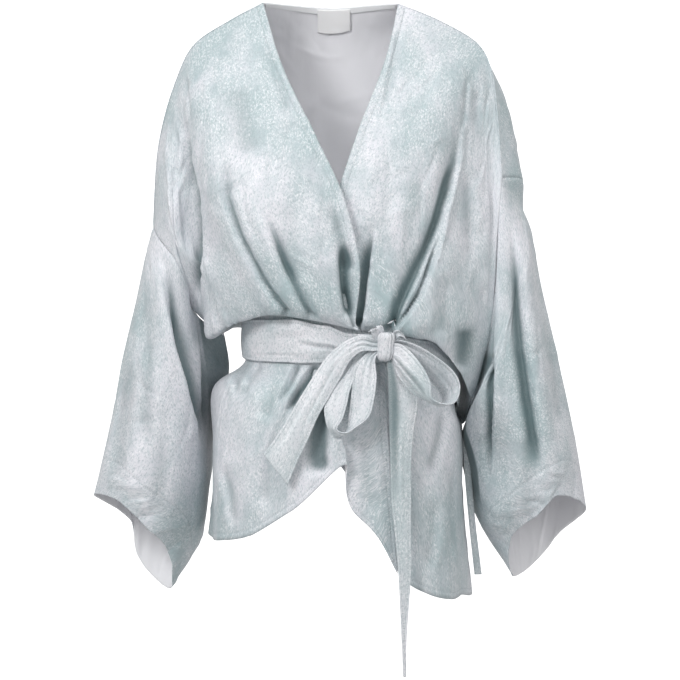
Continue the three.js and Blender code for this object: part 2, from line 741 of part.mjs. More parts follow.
const SHORT_TAIL = [
  [44, -124, -420, 38, -122, -404, 0],
  [14, -125, -434, 6, -122, -412, 2],
  [-6, -127, -456, -24, -125, -442, 2],
  [-22, -136, -494, -54, -134, -482, 3],
  [-39, -144, -537, -83, -144, -530, 3],
  [-61, -148, -583, -92, -148, -548, 2],
];
const LONG_TAIL = [
  [62, -122, -440, 76, -120, -438, 0],
  [59, -132, -482, 92, -128, -482, -3],
  [59, -136, -522, 87, -132, -522, -3],
  [60, -138, -562, 84, -134, -562, -2],
  [61, -138, -600, 84, -135, -600, -2],
  [65, -138, -640, 84, -136, -640, -1],
  [69, -138, -686, 84, -136, -686, -1],
  [71, -138, -724, 82, -137, -724, 0],
  [73, -138, -768, 79, -137, -768, 0],
  [75, -138, -812, 78, -137, -812, 0],
];
const SIDE_TIE = [
  [150.9, -6, -521, 157, -4, -521, 0],
  [152, -6, -562, 160, -4, -562, 0],
  [158, -6, -634, 166, -4, -634, 0],
  [165, -6, -700, 174, -4, -700, 0],
];
const TIE_CLOTH = 1.2;

// The knot: a rounded block of gathered cloth over the sash, with a crease to each side
const KNOT = {
  x: 55,
  z: -419,
  front: -138,
  halfWidth: 11.5,
  halfHeight: 20,
  squareness: 2.6,
  around: 28,
  levels: 16,
};
function knotGeometry(grow) {
  const backFace = sashFront(KNOT.x) - SEAM_GAP;
  const depth = (backFace - KNOT.front) / 2 + grow;
  const middle = (backFace + KNOT.front) / 2;
  const power = 2 / KNOT.squareness;
  const part = (s) => Math.sign(s) * Math.abs(s) ** power;
  const sphere = new THREE.SphereGeometry(1, KNOT.around, KNOT.levels);
  const place = sphere.attributes.position;
  for (let i = 0; i < place.count; i++) {
    const p = vec(place.getX(i), place.getY(i), place.getZ(i));
    const taper = 1 - 0.12 * p.y;
    place.setXYZ(
      i,
      KNOT.x - 2.5 * p.y + part(p.x) * (KNOT.halfWidth + grow) * taper,
      middle - part(p.z) * depth,
      KNOT.z + part(p.y) * (KNOT.halfHeight + grow),
    );
  }
  return sphere;
}

// The y of the sash's outer face in front, at a given x
function sashFront(x) {
  const row = sash.grid[SASH.rows / 2];
  const near = row.filter((p) => p.y < 0).sort((a, b) => Math.abs(a.x - x) - Math.abs(b.x - x));
  return Math.min(near[0].y, near[1].y);
}

// Solids for cutting one piece back from another
function solid(geometry) {
  const plain = geometry.clone();
  plain.deleteAttribute("normal");
  plain.deleteAttribute("uv");
  const merged = mergeVertices(plain, 1e-4);
  const vertProperties = merged.attributes.position.array;
  const triVerts = new Uint32Array(merged.index.array);
  return new wasm.Manifold(new wasm.Mesh({ numProp: 3, vertProperties, triVerts }));
}
function geometryOf(made) {
  const mesh = made.getMesh();
  const geometry = new THREE.BufferGeometry();
  geometry.setAttribute("position", new THREE.BufferAttribute(mesh.vertProperties, 3));
  geometry.setIndex(new THREE.BufferAttribute(mesh.triVerts, 1));
  return geometry;
}
function cutBy(geometry, cutter) {
  const cut = solid(geometry).subtract(cutter);
  const bodies = cut.decompose().sort((a, b) => b.volume() - a.volume());
  return geometryOf(bodies[0]);
}

// Trim on the inside of the back: a patch of the back's own points moved in
function insidePatch(rows, columns, thick, clear) {
  const grid = rows.map((r) => columns.map((c) => patchPoint(r, c, clear)));
  const panel = { grid, outside: back.outside };
  panel.normals = rows.map((r) => columns.map((c) => patchNormal(r, c)));
  return wall(panel, thick);
}
function patchNormal(r, c) {
  const [r0, c0] = [Math.floor(r), Math.floor(c)];
  const [r1, c1] = [Math.min(r0 + 1, back.grid.length - 1), c0 + 1];
  const upper = mix(back.normals[r0][c0], back.normals[r0][c1], c - c0);
  const lower = mix(back.normals[r1][c0], back.normals[r1][c1], c - c0);
  return upper.lerp(lower, r - r0).normalize();
}
function patchPoint(r, c, inward) {
  const [r0, c0] = [Math.floor(r), Math.floor(c)];
  const [u, v] = [c - c0, r - r0];
  const inner = (i, j) => back.grid[i][j].clone().addScaledVector(back.normals[i][j], -CLOTH);
  const besides = [inner(r0, c0 + 1), inner(r0 + 1, c0)];
  const upper = u + v <= 1;
  const corner = upper ? inner(r0, c0) : inner(r0 + 1, c0 + 1);
  const shares = upper ? [u, v] : [1 - v, 1 - u];
  const place = corner.clone();
  besides.forEach((p, i) => place.addScaledVector(p.sub(corner), shares[i]));
  return place.addScaledVector(patchNormal(r, c), -inward);
}

// The row and column of the back at a height and x near the neck, by bisection
function backRowAt(c, z) {
  let [low, high] = [0, 5];
  for (let k = 0; k < 30; k++) {
    const r = (low + high) / 2;
    if (patchPoint(r, c, 0).z > z) low = r;
    else high = r;
  }
  return (low + high) / 2;
}
function backColumnAt(x) {
  let [low, high] = [FRONT_COLUMNS, FRONT_COLUMNS + NECK_COLUMNS];
  for (let k = 0; k < 30; k++) {
    const c = (low + high) / 2;
    if (patchPoint(1, c, 0).x < x) low = c;
    else high = c;
  }
  return (low + high) / 2;
}

// Colours as worn: pale sage cloth washed with lilac, lighter inside
const CLOTH_LOOK = { color: 0xb4c0c2, roughness: 0.55, metalness: 0 };
const SASH_LOOK = { color: 0xbcc3c8, roughness: 0.5, metalness: 0 };
const BAND_LOOK = { color: 0xd6d5da, roughness: 0.8, metalness: 0 };
const LABEL_LOOK = { color: 0xe9e9ec, roughness: 0.85, metalness: 0 };

const kimono = new THREE.Group();
kimono.name = "kimono";
function add(name, geometry, look) {
  const mesh = new THREE.Mesh(geometry, new THREE.MeshStandardMaterial(look));
  mesh.name = name;
  kimono.add(mesh);
  return mesh;
}

add("back", wall(back, CLOTH), CLOTH_LOOK);
add("front_right", wall(rightFront, CLOTH), CLOTH_LOOK);
add("front_left", wall(leftFront, CLOTH), CLOTH_LOOK);
add("sleeve_right", wall(rightSleeve, CLOTH), CLOTH_LOOK);
add("sleeve_left", wall(leftSleeve, CLOTH), CLOTH_LOOK);
add("belt_band", wall(sash, SASH_CLOTH), SASH_LOOK);

const knotRoom = solid(knotGeometry(SEAM_GAP));
add("bow_knot", knotGeometry(0), SASH_LOOK);
const tied = (table, steps) => cutBy(ribbon(table, steps, SASH_CLOTH), knotRoom);
add("bow_loop_left", tied(LEFT_LOOP, 26), SASH_LOOK);
add("bow_loop_right", tied(RIGHT_LOOP, 24), SASH_LOOK);
add("tail_short", tied(SHORT_TAIL, 12), SASH_LOOK);
add("tail_long", tied(LONG_TAIL, 22), SASH_LOOK);
add("side_tie", ribbon(SIDE_TIE, 10, TIE_CLOTH), SASH_LOOK);

const labelColumn = backColumnAt(LABEL.x);
const neckMiddle = new THREE.Vector3(...NECK_BACK.slice(6, 9));
const bandRow = backRowAt(labelColumn, neckMiddle.z - NECK_BAND.height);
const bandRows = [0.02, 0.5, 1].map((share) => share * bandRow);
const firstBandColumn = FRONT_COLUMNS + NECK_BAND.endMargin;
const lastBandColumn = FRONT_COLUMNS + NECK_COLUMNS - NECK_BAND.endMargin;
const bandColumns = equalSteps(NECK_BAND.columns).map((t) =>
  THREE.MathUtils.lerp(firstBandColumn, lastBandColumn, t),
);
add("neck_band", insidePatch(bandRows, bandColumns, NECK_BAND.thick, NECK_BAND.clear), BAND_LOOK);

const labelRows = [0, 0.5, 1].map((share) => backRowAt(labelColumn, LABEL.top - share * LABEL.height));
const labelColumns = [-0.5, -0.17, 0.17, 0.5].map((share) => backColumnAt(LABEL.x + share * LABEL.width));
const labelClear = NECK_BAND.clear + NECK_BAND.thick + SEAM_GAP;
add("label", insidePatch(labelRows, labelColumns, LABEL.thick, labelClear), LABEL_LOOK);

export default kimono;
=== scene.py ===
"""A wrap kimono top of light mottled satin, filled out as if worn, its sash tied in a bow in front.

Sizes are in millimetres in the tables and become metres when a mesh is made. +X is the wearer's left,
-Y the front, +Z up. The origin is the middle of the wearer's neck, level with the shoulder seams.
"""

import math

import bmesh
import bpy
import numpy as np
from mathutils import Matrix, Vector


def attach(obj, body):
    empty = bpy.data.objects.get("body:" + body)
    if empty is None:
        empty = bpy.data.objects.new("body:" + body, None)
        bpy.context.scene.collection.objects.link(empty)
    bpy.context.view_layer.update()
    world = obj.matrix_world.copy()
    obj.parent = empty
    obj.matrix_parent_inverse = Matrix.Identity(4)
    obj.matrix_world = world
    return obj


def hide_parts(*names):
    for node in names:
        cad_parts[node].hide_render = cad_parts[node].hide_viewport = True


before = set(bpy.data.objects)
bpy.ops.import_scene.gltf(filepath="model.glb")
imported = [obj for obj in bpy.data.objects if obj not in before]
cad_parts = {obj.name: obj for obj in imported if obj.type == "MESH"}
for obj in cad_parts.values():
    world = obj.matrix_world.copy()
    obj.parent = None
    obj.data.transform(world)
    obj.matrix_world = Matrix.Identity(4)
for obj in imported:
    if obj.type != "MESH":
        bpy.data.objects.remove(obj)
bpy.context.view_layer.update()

MM = 0.001
BODY = "root"

# Camera and room
CAMERA = {"distance": 4.0, "height": -0.412, "lens": 172.2, "sensor": 36.0}
FLOOR_HEIGHT = -1.42
ROOM = {"radius": 9, "height": 12, "glow": 0.9, "sky": 0.5}
# Columns: name, place, size, power
LIGHTS = [
    ("key", (-1.8, -2.5, 1.2), (1.0, 1.0), 49),
    ("fill", (2.3, -2.2, 0.1), (2.0, 2.0), 14),
    ("top", (0.1, -1.1, 1.8), (1.4, 1.0), 17),
]

# Cloth thicknesses and the sash, in millimetres
CLOTH = 0.7
SASH_CLOTH = 1.3
SIDE_TIE_CLOTH = 0.9
SASH_WIDTH = 50
WAIST = {"x": 13, "y": 5, "half_width": 130, "half_depth": 103, "squareness": 2.4}
WRAP_STEP = 5.5

# Steps of the cloth down each span of the tables, and how much finer the mesh is than those steps
FRONT_COLUMNS = 18
NECK_COLUMNS = 10
FRONT_ARM_STEPS = [3, 3, 3, 3, 2]
BACK_ARM_STEPS = [2, 2, 3, 3, 2, 2]
LOWER_STEPS = [2, 1, 2, 2, 2, 3]
SLEEVE_STEPS = [2, 2, 2, 3, 2, 3]
FINE = {"rows": 9, "front_columns": 8, "back_columns": 4, "sleeve_rows": 8}
ARM_ROWS = sum(FRONT_ARM_STEPS) * FINE["rows"]


# Curves, ramps and grids

def smooth(value, low, high):
    """0 below low, 1 above high, and a soft step between."""
    t = np.clip((np.asarray(value, float) - low) / (high - low), 0, 1)
    return t * t * (3 - 2 * t)


def ramp(table, at):
    """A number that changes smoothly between the rows of a table of (at, value)."""
    at = np.asarray(at, float)
    out = np.full(at.shape, float(table[0][1]))
    for (t0, a), (t1, b) in zip(table[:-1], table[1:]):
        out = np.where(at >= t0, a + (b - a) * smooth(at, t0, t1), out)
    return out


def spline(points, at, closed=False):
    """Centripetal curves through points (count, curves, 3) at shares of their length from 0 to 1."""
    p = np.asarray(points, float)
    spans = len(p) if closed else len(p) - 1
    if closed:
        p = np.concatenate([p[-1:], p, p[:2]])
    else:
        p = np.concatenate([[2 * p[0] - p[1]], p, [2 * p[-1] - p[-2]]])
    step = np.maximum(((p[1:] - p[:-1]) ** 2).sum(-1, keepdims=True) ** 0.25, 1e-4)
    place = np.asarray(at, float) * spans
    span = np.clip(place.astype(int), 0, spans - 1)
    t = (place - span).reshape(-1, *[1] * (p.ndim - 1))
    p0, p1, p2, p3 = (p[span + k] for k in range(4))
    d0, d1, d2 = (step[span + k] for k in range(3))
    a = ((p1 - p0) / d0 - (p2 - p0) / (d0 + d1) + (p2 - p1) / d1) * d1
    b = ((p2 - p1) / d1 - (p3 - p1) / (d1 + d2) + (p3 - p2) / d2) * d1
    return p1 + t * (a + t * (3 * p2 - 3 * p1 - 2 * a - b + t * (2 * p1 - 2 * p2 + a + b)))


def span_shares(steps, fine):
    """Shares of a curve's length that give each span its own number of steps."""
    shares = [
        (span + k / (count * fine)) / len(steps)
        for span, count in enumerate(steps)
        for k in range(count * fine)
    ]
    return np.array(shares + [1.0])


def stations(row):
    """The points of a table row, three numbers to a station."""
    return np.array(row, float).reshape(-1, 3)


def down_columns(rows, steps, fine):
    """Smooth columns through rows (rows, columns, 3)."""
    return spline(np.array(rows), span_shares(steps, fine))


def normals_of(grid, closed, outside):
    """Unit normals of a grid of points."""
    if closed:
        across = np.roll(grid, -1, 1) - np.roll(grid, 1, 1)
    else:
        padded = np.concatenate([grid[:, :1], grid, grid[:, -1:]], 1)
        across = padded[:, 2:] - padded[:, :-2]
    padded = np.concatenate([grid[:1], grid, grid[-1:]], 0)
    down = padded[2:] - padded[:-2]
    normal = np.cross(across, down) * outside
    return normal / np.maximum(np.linalg.norm(normal, axis=-1, keepdims=True), 1e-9)


def arc_length(grid, axis):
    """Distance along the rows (axis 1) or down the columns (axis 0)."""
    step = np.linalg.norm(np.diff(grid, axis=axis), axis=-1)
    start = np.zeros([1 if k == axis else n for k, n in enumerate(step.shape)])
    return np.concatenate([start, np.cumsum(step, axis=axis)], axis)


def flat_place(grid):
    """Where each point of a panel lies on the flat cloth, across and down, in millimetres."""
    across = arc_length(grid, 1)
    return across - across[:, across.shape[1] // 2][:, None], arc_length(grid, 0)


# The waist under the sash. Angle 0 is the front, 90 the wearer's left, 180 the back.
SASH_HEIGHT = [
    (-90, -411), (-30, -413), (-9, -417), (0, -422), (20, -424), (40, -432), (60, -450),
    (90, -472), (135, -464), (180, -448), (225, -428), (270, -411),
]
# The share of its width that the sash keeps, gathered in towards the knot
SASH_TAPER = [
    (-90, 0.88), (-50, 1), (-25, 1.04), (-9, 0.9), (0, 0.7),
    (16, 0.6), (40, 0.76), (70, 0.92), (180, 1), (270, 0.88),
]
WRAP_OFFSET = [(-90, 0), (-45, WRAP_STEP), (24, WRAP_STEP), (44, 0)]
TUCK = {"turn": 4, "turn_out": 9, "above": 6, "below": 4}


def waist(degrees, offset, z):
    """Points on the rounded box of the waist, offset outwards."""
    a = np.radians(np.asarray(degrees, float))
    power = 2 / WAIST["squareness"]
    sine = np.sign(np.sin(a)) * np.abs(np.sin(a)) ** power
    cosine = np.sign(np.cos(a)) * np.abs(np.cos(a)) ** power
    x = WAIST["x"] + (WAIST["half_width"] + offset) * sine
    y = WAIST["y"] - (WAIST["half_depth"] + offset) * cosine
    return np.stack(np.broadcast_arrays(x, y, z), -1)


def all_round(table, degrees):
    """A value from a table that starts at -90 degrees, for any angle."""
    degrees = np.asarray(degrees, float)
    return ramp(table, np.where(degrees < -90, degrees + 360, degrees))


def sash_height(degrees):
    """The height of the sash's middle."""
    return all_round(SASH_HEIGHT, degrees)


def half_sash(degrees):
    """Half the width of the sash where it is gathered in."""
    return SASH_WIDTH / 2 * all_round(SASH_TAPER, degrees)


def wrap_offset(degrees):
    """How far the right front stands off the waist, where it laps over the left one."""
    return ramp(WRAP_OFFSET, degrees)


def sash_rows(top_angles, bottom_angles, offset, turn_out):
    """Where the blouse turns in over the sash, where it goes under it, and where it comes out again."""
    top, bottom = np.array(top_angles, float), np.array(bottom_angles, float)
    out = np.array(turn_out, float)
    turn = waist(top, offset(top) + out, sash_height(top) + half_sash(top) + TUCK["turn"])
    above = waist(top, offset(top), sash_height(top) + half_sash(top) + TUCK["above"])
    below = waist(bottom, offset(bottom), sash_height(bottom) - half_sash(bottom) - TUCK["below"])
    return [turn, above, below]


# The fronts. Stations: wrap edge, collar, chest, armpit, arm, seam
RIGHT_FRONT = {
    "shoulder": [
        -95, 8, 4, -135, 10, -17, -181, 14, -48,
        -203, 14, -92, -224, 12, -170, -231, 10, -273,
    ],
    "yoke": [
        -69, -45, -81, -131, -52, -97, -178, -38, -112,
        -197, -20, -143, -214, -25, -203, -222, -22, -288,
    ],
    "chest": [
        -26, -90, -172, -96, -100, -184, -151, -82, -201,
        -183, -35, -217, -204, -48, -248, -200, -46, -315,
    ],
    "bust": [
        6, -112, -245, -66, -122, -263, -126, -105, -274,
        -174, -42, -290, -195, -50, -296, -186, -34, -342,
    ],
    "ribs": [
        24, -120, -328, -42, -128, -328, -98, -115, -334,
        -151, -72, -339, -166, -43, -345, -181, -8, -374,
    ],
    "blouse": [
        19, -114, -393, -24, -122, -384, -66, -116, -377,
        -126, -80, -391, -160, -42, -409, -143, 18, -403,
    ],
    "sash_top": [2, -12, -32, -52, -71, -90],
    "sash_bottom": [14, -12, -32, -52, -71, -90],
    "turn_out": [9, 9, 9, 9, 9, 9],
    "flare": [
        55, -114, -478, -4, -122, -474, -48, -121, -472,
        -96, -105, -471, -136, -61, -464, -156, -5, -469,
    ],
    "hip": [
        60, -119, -560, 3, -128, -517, -55, -129, -530,
        -108, -112, -535, -145, -65, -535, -157, -5, -535,
    ],
    "hem": [
        69, -122, -691, 8, -130, -577, -60, -136, -617,
        -107, -122, -645, -147, -75, -654, -157, -12, -654,
    ],
}
LEFT_FRONT = {
    "shoulder": [
        72, 8, 3, 123, 8, -18, 171, 5, -48,
        186, -8, -80, 193, -20, -143, 197, -34, -214,
    ],
    "yoke": [
        55, -40, -71, 97, -55, -97, 139, -50, -102,
        174, -25, -119, 185, -25, -168, 195, -36, -242,
    ],
    "chest": [
        22, -82, -159, 66, -98, -184, 108, -92, -190,
        152, -55, -200, 180, -38, -230, 192, -36, -285,
    ],
    "bust": [
        -2, -96, -232, 42, -110, -257, 86, -112, -263,
        130, -82, -273, 168, -52, -297, 190, -36, -339,
    ],
    "ribs": [
        -22, -100, -304, 21, -106, -322, 69, -115, -328,
        120, -98, -340, 160, -68, -364, 185, -34, -394,
    ],
    "blouse": [
        -30, -103, -378, 12, -105, -386, 62, -114, -398,
        112, -104, -415, 143, -72, -448, 161, -12, -483,
    ],
    "sash_top": [-20, 2, 24, 46, 68, 90],
    "sash_bottom": [-24, 0, 24, 46, 68, 90],
    "turn_out": [0, 0, 6, 9, 9, 9],
    "flare": [
        -24, -102, -472, 20, -104, -478, 64, -107, -486,
        106, -95, -500, 138, -55, -510, 150, -5, -522,
    ],
    "hip": [
        -20, -104, -505, 30, -108, -540, 72, -112, -562,
        108, -106, -575, 138, -70, -582, 150, -20, -590,
    ],
    "hem": [
        -10, -106, -550, 30, -110, -602, 76, -114, -698,
        106, -114, -716, 134, -88, -724, 148, -45, -722,
    ],
}

# The back. Stations: right seam, right arm, right blade, spine, left blade, left arm, left seam
BACK = {
    "fold": [
        -229, 26, -280, -206, 40, -108, -142, 52, -36, -12, 84, -28,
        131, 50, -34, 194, 18, -92, 224, 0, -214,
    ],
    "blades": [
        -224, 42, -296, -212, 64, -170, -150, 88, -90, -12, 98, -78,
        138, 86, -88, 205, 52, -150, 227, 34, -226,
    ],
    "chest": [
        -212, 54, -318, -200, 72, -245, -142, 100, -185, -12, 106, -165,
        134, 98, -182, 205, 74, -225, 224, 56, -258,
    ],
    "bust": [
        -199, 50, -342, -180, 78, -300, -128, 104, -270, -8, 108, -255,
        128, 102, -268, 192, 80, -300, 210, 60, -308,
    ],
    "ribs": [
        -184, 30, -373, -162, 70, -355, -115, 102, -345, 0, 108, -340,
        118, 104, -352, 172, 76, -380, 187, 46, -392,
    ],
    "blouse": [
        -143, 18, -403, -132, 60, -394, -98, 96, -397, 8, 112, -402,
        112, 102, -438, 150, 50, -516, 161, -12, -483,
    ],
    "sash": [270, 240, 215, 180, 145, 120, 90],
    "turn_out": [9, 9, 9, 9, 9, 9, 9],
    "flare": [
        -156, -5, -469, -142, 46, -468, -100, 98, -474, 12, 107, -480,
        112, 101, -492, 146, 45, -505, 150, -5, -522,
    ],
    "hip": [
        -157, -5, -535, -145, 48, -530, -97, 102, -522, 10, 113, -515,
        112, 107, -535, 148, 42, -575, 150, -20, -590,
    ],
    "hem": [
        -157, -12, -654, -162, 32, -648, -104, 112, -600, 10, 126, -566,
        116, 120, -630, 163, 14, -722, 148, -45, -722,
    ],
}
NECK_BACK = [-95, 8, 4, -60, 50, 5, -12, 70, 4, 38, 50, 5, 72, 8, 3]
BACK_KNOTS = [0, 0.16, 0.3, 0.5, 0.7, 0.84, 1]

# The sleeves. A ring runs from the top edge over the front to the inner corner, under the arm, and back.
# Columns: top x, z, crest, inner x, y, z, under x, y, z, back
RIGHT_SLEEVE = {
    "rings": [
        (-239, -306, 44, -175, -16, -430, -138, 50, -449, 58),
        (-251, -363, 50, -172, -20, -466, -150, 82, -488, 62),
        (-266, -427, 54, -175, -14, -514, -158, 90, -532, 64),
        (-279, -496, 56, -174, -8, -580, -166, 78, -592, 58),
        (-291, -553, 54, -187, -4, -642, -174, 58, -660, 54),
    ],
    "cuff": [
        -303, 5, -603, -270, -40, -608, -236, -46, -640, -211, -20, -668,
        -208, 8, -717, -232, 42, -706, -252, 52, -680, -262, 46, -636,
    ],
}
LEFT_SLEEVE = {
    "rings": [
        (234, -272, 44, 174, -31, -464, 156, 33, -520, 57),
        (247, -341, 50, 156, -32, -506, 152, 74, -546, 62),
        (263, -410, 54, 166, -30, -552, 161, 66, -590, 64),
        (278, -478, 56, 175, -28, -598, 168, 54, -622, 60),
        (292, -547, 54, 185, -24, -636, 182, 34, -651, 54),
    ],
    "cuff": [
        303, 0, -619, 264, -44, -602, 240, -46, -626, 210, -22, -653,
        211, 5, -701, 228, 34, -699, 254, 48, -676, 272, 40, -652,
    ],
}

# Folds run down the cloth along a path of (x, z). Columns: side, soft, sharp, depth, rise, spread, path.
# The dip has a gentle side and a steep side, soft and sharp wide. Side 1 puts the steep side at +X and
# side -1 at -X. Past it the cloth swells by rise over spread. A fold fades in and out along its path.
# How deep a point lies in a dip also sets the painted shade it takes in the crease colour.
RIGHT_FRONT_FOLDS = [
    (1, 7, 2.2, 10, 5, 20, [
        (-194, -136), (-182, -184), (-172, -232), (-168, -268),
        (-168, -300), (-171, -326), (-172, -350), (-172, -384),
    ]),
    (1, 8, 2, 3.5, 1, 6, [(-99, -30), (-84, -72), (-66, -112), (-52, -146)]),
    (1, 4, 2.5, 2.5, 1, 6, [(-200, -152), (-200, -222)]),
    (1, 5, 3, 3, 1, 6, [(-188, -90), (-190, -116)]),
    (-1, 4, 2.2, 1.4, 0.6, 6, [(-168, -144), (-166, -250)]),
    (-1, 6, 1.5, 8, 4, 12, [
        (-142, -184), (-137, -244), (-122, -288), (-94, -340), (-62, -386), (-44, -418),
    ]),
    (-1, 8, 1.5, 8, 4, 12, [(-94, -250), (-70, -318), (-53, -354), (-34, -394), (-22, -424)]),
    (1, 22, 18, 3, 2, 20, [(-62, -240), (-58, -300), (-50, -352)]),
    (1, 10, 5, 6, 1, 8, [(-14, -232), (2, -286), (11, -318), (12, -332)]),
    (-1, 8, 5, 13, 1.5, 10, [(4, -294), (4, -334), (7, -362), (11, -390)]),
    (-1, 4, 1.8, 6, 2, 7, [(5, -346), (13, -384), (20, -412)]),
    (1, 26, 22, 4, 0, 20, [(-128, -90), (-118, -150), (-106, -196)]),
    (-1, 5, 2, 8, 2.5, 8, [(-44, -422), (-51, -441), (-60, -462), (-78, -492)]),
    (-1, 13, 3, 10, 3, 10, [(-24, -428), (-34, -450), (-49, -471), (-64, -502)]),
    (-1, 6, 2.4, 6, 2, 7, [(-108, -422), (-119, -444), (-126, -458), (-129, -484)]),
    (-1, 6, 2.4, 4, 2, 7, [(-90, -426), (-102, -446), (-112, -464), (-126, -482)]),
    (1, 12, 9, 3.5, 1, 12, [(-76, -462), (-84, -484), (-92, -510)]),
    (-1, 8, 4, 4, 2, 9, [(-144, -560), (-134, -600), (-128, -640)]),
    (1, 16, 10, 11, 1, 10, [(-16, -462), (-24, -520), (-26, -548), (-20, -574)]),
    (1, 12, 8, 3.5, 1, 12, [(-70, -520), (-86, -570), (-92, -616)]),
    (-1, 14, 10, 3, 1, 12, [(26, -520), (30, -570), (40, -624)]),
]
LEFT_FRONT_FOLDS = [
    (-1, 7, 2, 3.5, 1, 6, [(74, -22), (67, -62), (58, -102), (49, -146)]),
    (1, 4, 2.2, 3, 1, 7, [(157, -88), (153, -130), (149, -160)]),
    (1, 11, 1.8, 12, 4, 6, [
        (149, -138), (141, -200), (130, -240), (120, -272), (106, -306),
        (90, -340), (72, -376), (58, -410), (50, -432),
    ]),
    (1, 6, 1.8, 11, 6, 22, [
        (128, -254), (114, -306), (104, -334), (94, -358), (82, -378), (66, -398), (54, -420),
    ]),
    (1, 16, 14, 3.5, 1.5, 16, [(98, -180), (88, -262), (76, -320), (62, -388)]),
    (-1, 12, 10, 3, 1.5, 14, [(58, -170), (54, -250), (48, -330)]),
    (1, 10, 2.6, 11, 2, 9, [(40, -270), (34, -310), (29, -345), (26, -372), (22, -396), (19, -420)]),
    (1, 9, 7, 4, 1.5, 10, [(154, -206), (157, -260), (158, -330)]),
    (1, 9, 7, 3, 1, 10, [(160, -70), (165, -110), (168, -160)]),
    (-1, 5, 2.5, 4.5, 2, 8, [(184, -210), (186, -270), (184, -340), (180, -400), (176, -456)]),
    (1, 6, 3, 4.5, 2, 8, [(173, -338), (177, -400), (180, -440)]),
    # A broad dip below the blouse's tip, whose depth also paints shade there in the crease colour
    (1, 18, 12, 9, 1, 10, [(158, -392), (156, -424), (154, -452)]),
    (-1, 13, 10, 4, 2, 14, [(120, -330), (126, -380), (122, -408)]),
    (1, 14, 3.5, 9, 3, 14, [(78, -440), (74, -508), (74, -579), (76, -672)]),
    (1, 10, 5, 5, 2, 10, [(128, -494), (121, -532), (106, -578)]),
    (-1, 5, 3, 3.5, 2, 7, [(94, -486), (104, -500), (112, -502)]),
    (1, 13, 8, 4, 1.5, 14, [(114, -600), (112, -645), (104, -690)]),
    (-1, 12, 8, 4, 1.5, 14, [(140, -560), (138, -620), (136, -680)]),
]
BACK_FOLDS = [
    (1, 13, 4, 7, 4, 16, [(-178, -176), (-154, -260), (-120, -330), (-80, -404)]),
    (-1, 13, 4, 7, 4, 16, [(180, -186), (160, -270), (128, -350), (90, -418)]),
    (1, 14, 8, 5, 2, 16, [(-98, -246), (-72, -320), (-44, -400)]),
    (-1, 14, 8, 5, 2, 16, [(98, -256), (80, -330), (56, -408)]),
    (1, 18, 14, 4, 1, 16, [(-10, -210), (-4, -300), (4, -390)]),
    (-1, 9, 4, 4, 2, 10, [(-196, -140), (-186, -220), (-168, -300)]),
    (1, 9, 4, 4, 2, 10, [(200, -150), (192, -230), (178, -310)]),
    (1, 11, 5, 6, 3, 14, [(-66, -464), (-84, -520), (-94, -596)]),
    (-1, 12, 6, 5, 2, 14, [(-20, -468), (-26, -510), (-30, -560)]),
    (1, 12, 6, 5, 2, 14, [(34, -470), (40, -520), (44, -566)]),
    (-1, 11, 5, 6, 3, 14, [(84, -482), (100, -550), (114, -630)]),
    (-1, 6, 3, 4, 2, 8, [(-104, -462), (-112, -486), (-122, -520)]),
    (1, 6, 3, 4, 2, 8, [(122, -494), (128, -520), (134, -560)]),
]
RIGHT_SLEEVE_FOLDS = [
    (-1, 14, 4, 12, 5, 9, [
        (-218, -300), (-210, -330), (-203, -376), (-195, -418), (-182, -461), (-172, -509), (-164, -560),
    ]),
    (-1, 14, 2, 7, 2, 8, [
        (-182, -330), (-175, -384), (-169, -420), (-165, -455), (-163, -486), (-164, -540),
    ]),
    (1, 12, 10, 4, 1.5, 12, [(-236, -340), (-234, -440), (-238, -560)]),
    (-1, 16, 12, 4, 2, 16, [(-262, -420), (-268, -520), (-272, -590)]),
    (1, 16, 12, 3.5, 1, 14, [(-214, -480), (-216, -560), (-222, -640)]),
]
LEFT_SLEEVE_FOLDS = [
    (1, 13, 4, 11, 5, 14, [
        (206, -256), (211, -300), (217, -358), (222, -424), (230, -484), (238, -533), (246, -590),
    ]),
    (1, 7, 2, 10, 3, 8, [(188, -290), (187, -350), (185, -400), (184, -460), (183, -520), (180, -600)]),
    (1, 14, 10, 4, 1.5, 14, [(254, -330), (262, -430), (272, -540)]),
    (-1, 14, 10, 3.5, 1, 14, [(228, -520), (226, -590), (230, -650)]),
]
RIGHT_SLEEVE_BACK_FOLDS = [
    (-1, 14, 7, 7, 3, 14, [(-236, -330), (-228, -420), (-226, -520), (-232, -640)]),
    (1, 13, 9, 5, 2, 14, [(-200, -380), (-192, -470), (-196, -580)]),
    (1, 14, 10, 4, 2, 14, [(-258, -400), (-264, -500), (-268, -600)]),
]
LEFT_SLEEVE_BACK_FOLDS = [
    (1, 14, 7, 7, 3, 14, [(234, -310), (232, -400), (236, -500), (246, -620)]),
    (-1, 13, 9, 5, 2, 14, [(208, -400), (202, -500), (206, -600)]),
    (-1, 14, 10, 4, 2, 14, [(260, -360), (266, -470), (274, -590)]),
]
FOLD_END = 0.22
# Cloth in the shade of the arm. Columns: shaded side, depth it counts as, path of the edge of the shade
SLEEVE_SHADE = {
    "sleeve_right": (1, 7, [
        (-180, -350), (-174, -384), (-169, -420), (-165, -455), (-163, -486), (-164, -530), (-168, -570),
    ]),
    "sleeve_left": (-1, 9, [
        (192, -420), (184, -443), (166, -474), (155, -497), (154, -522),
        (162, -545), (168, -570), (172, -606), (182, -640),
    ]),
}
# Width of the edge of the shade, how it fades at its ends, and where it ends on cloth that faces back
SHADE = {"edge": 3, "fade_in": 0.1, "fade_out": 0.2, "facing": (-0.85, -0.5)}

# How far from the sash a swell and a dip reach their full height, and how far off the waist the cloth
# is free of the sash
SWELL_REACH = 16
DIP_REACH = 7
OFF_WAIST = (12, 26)
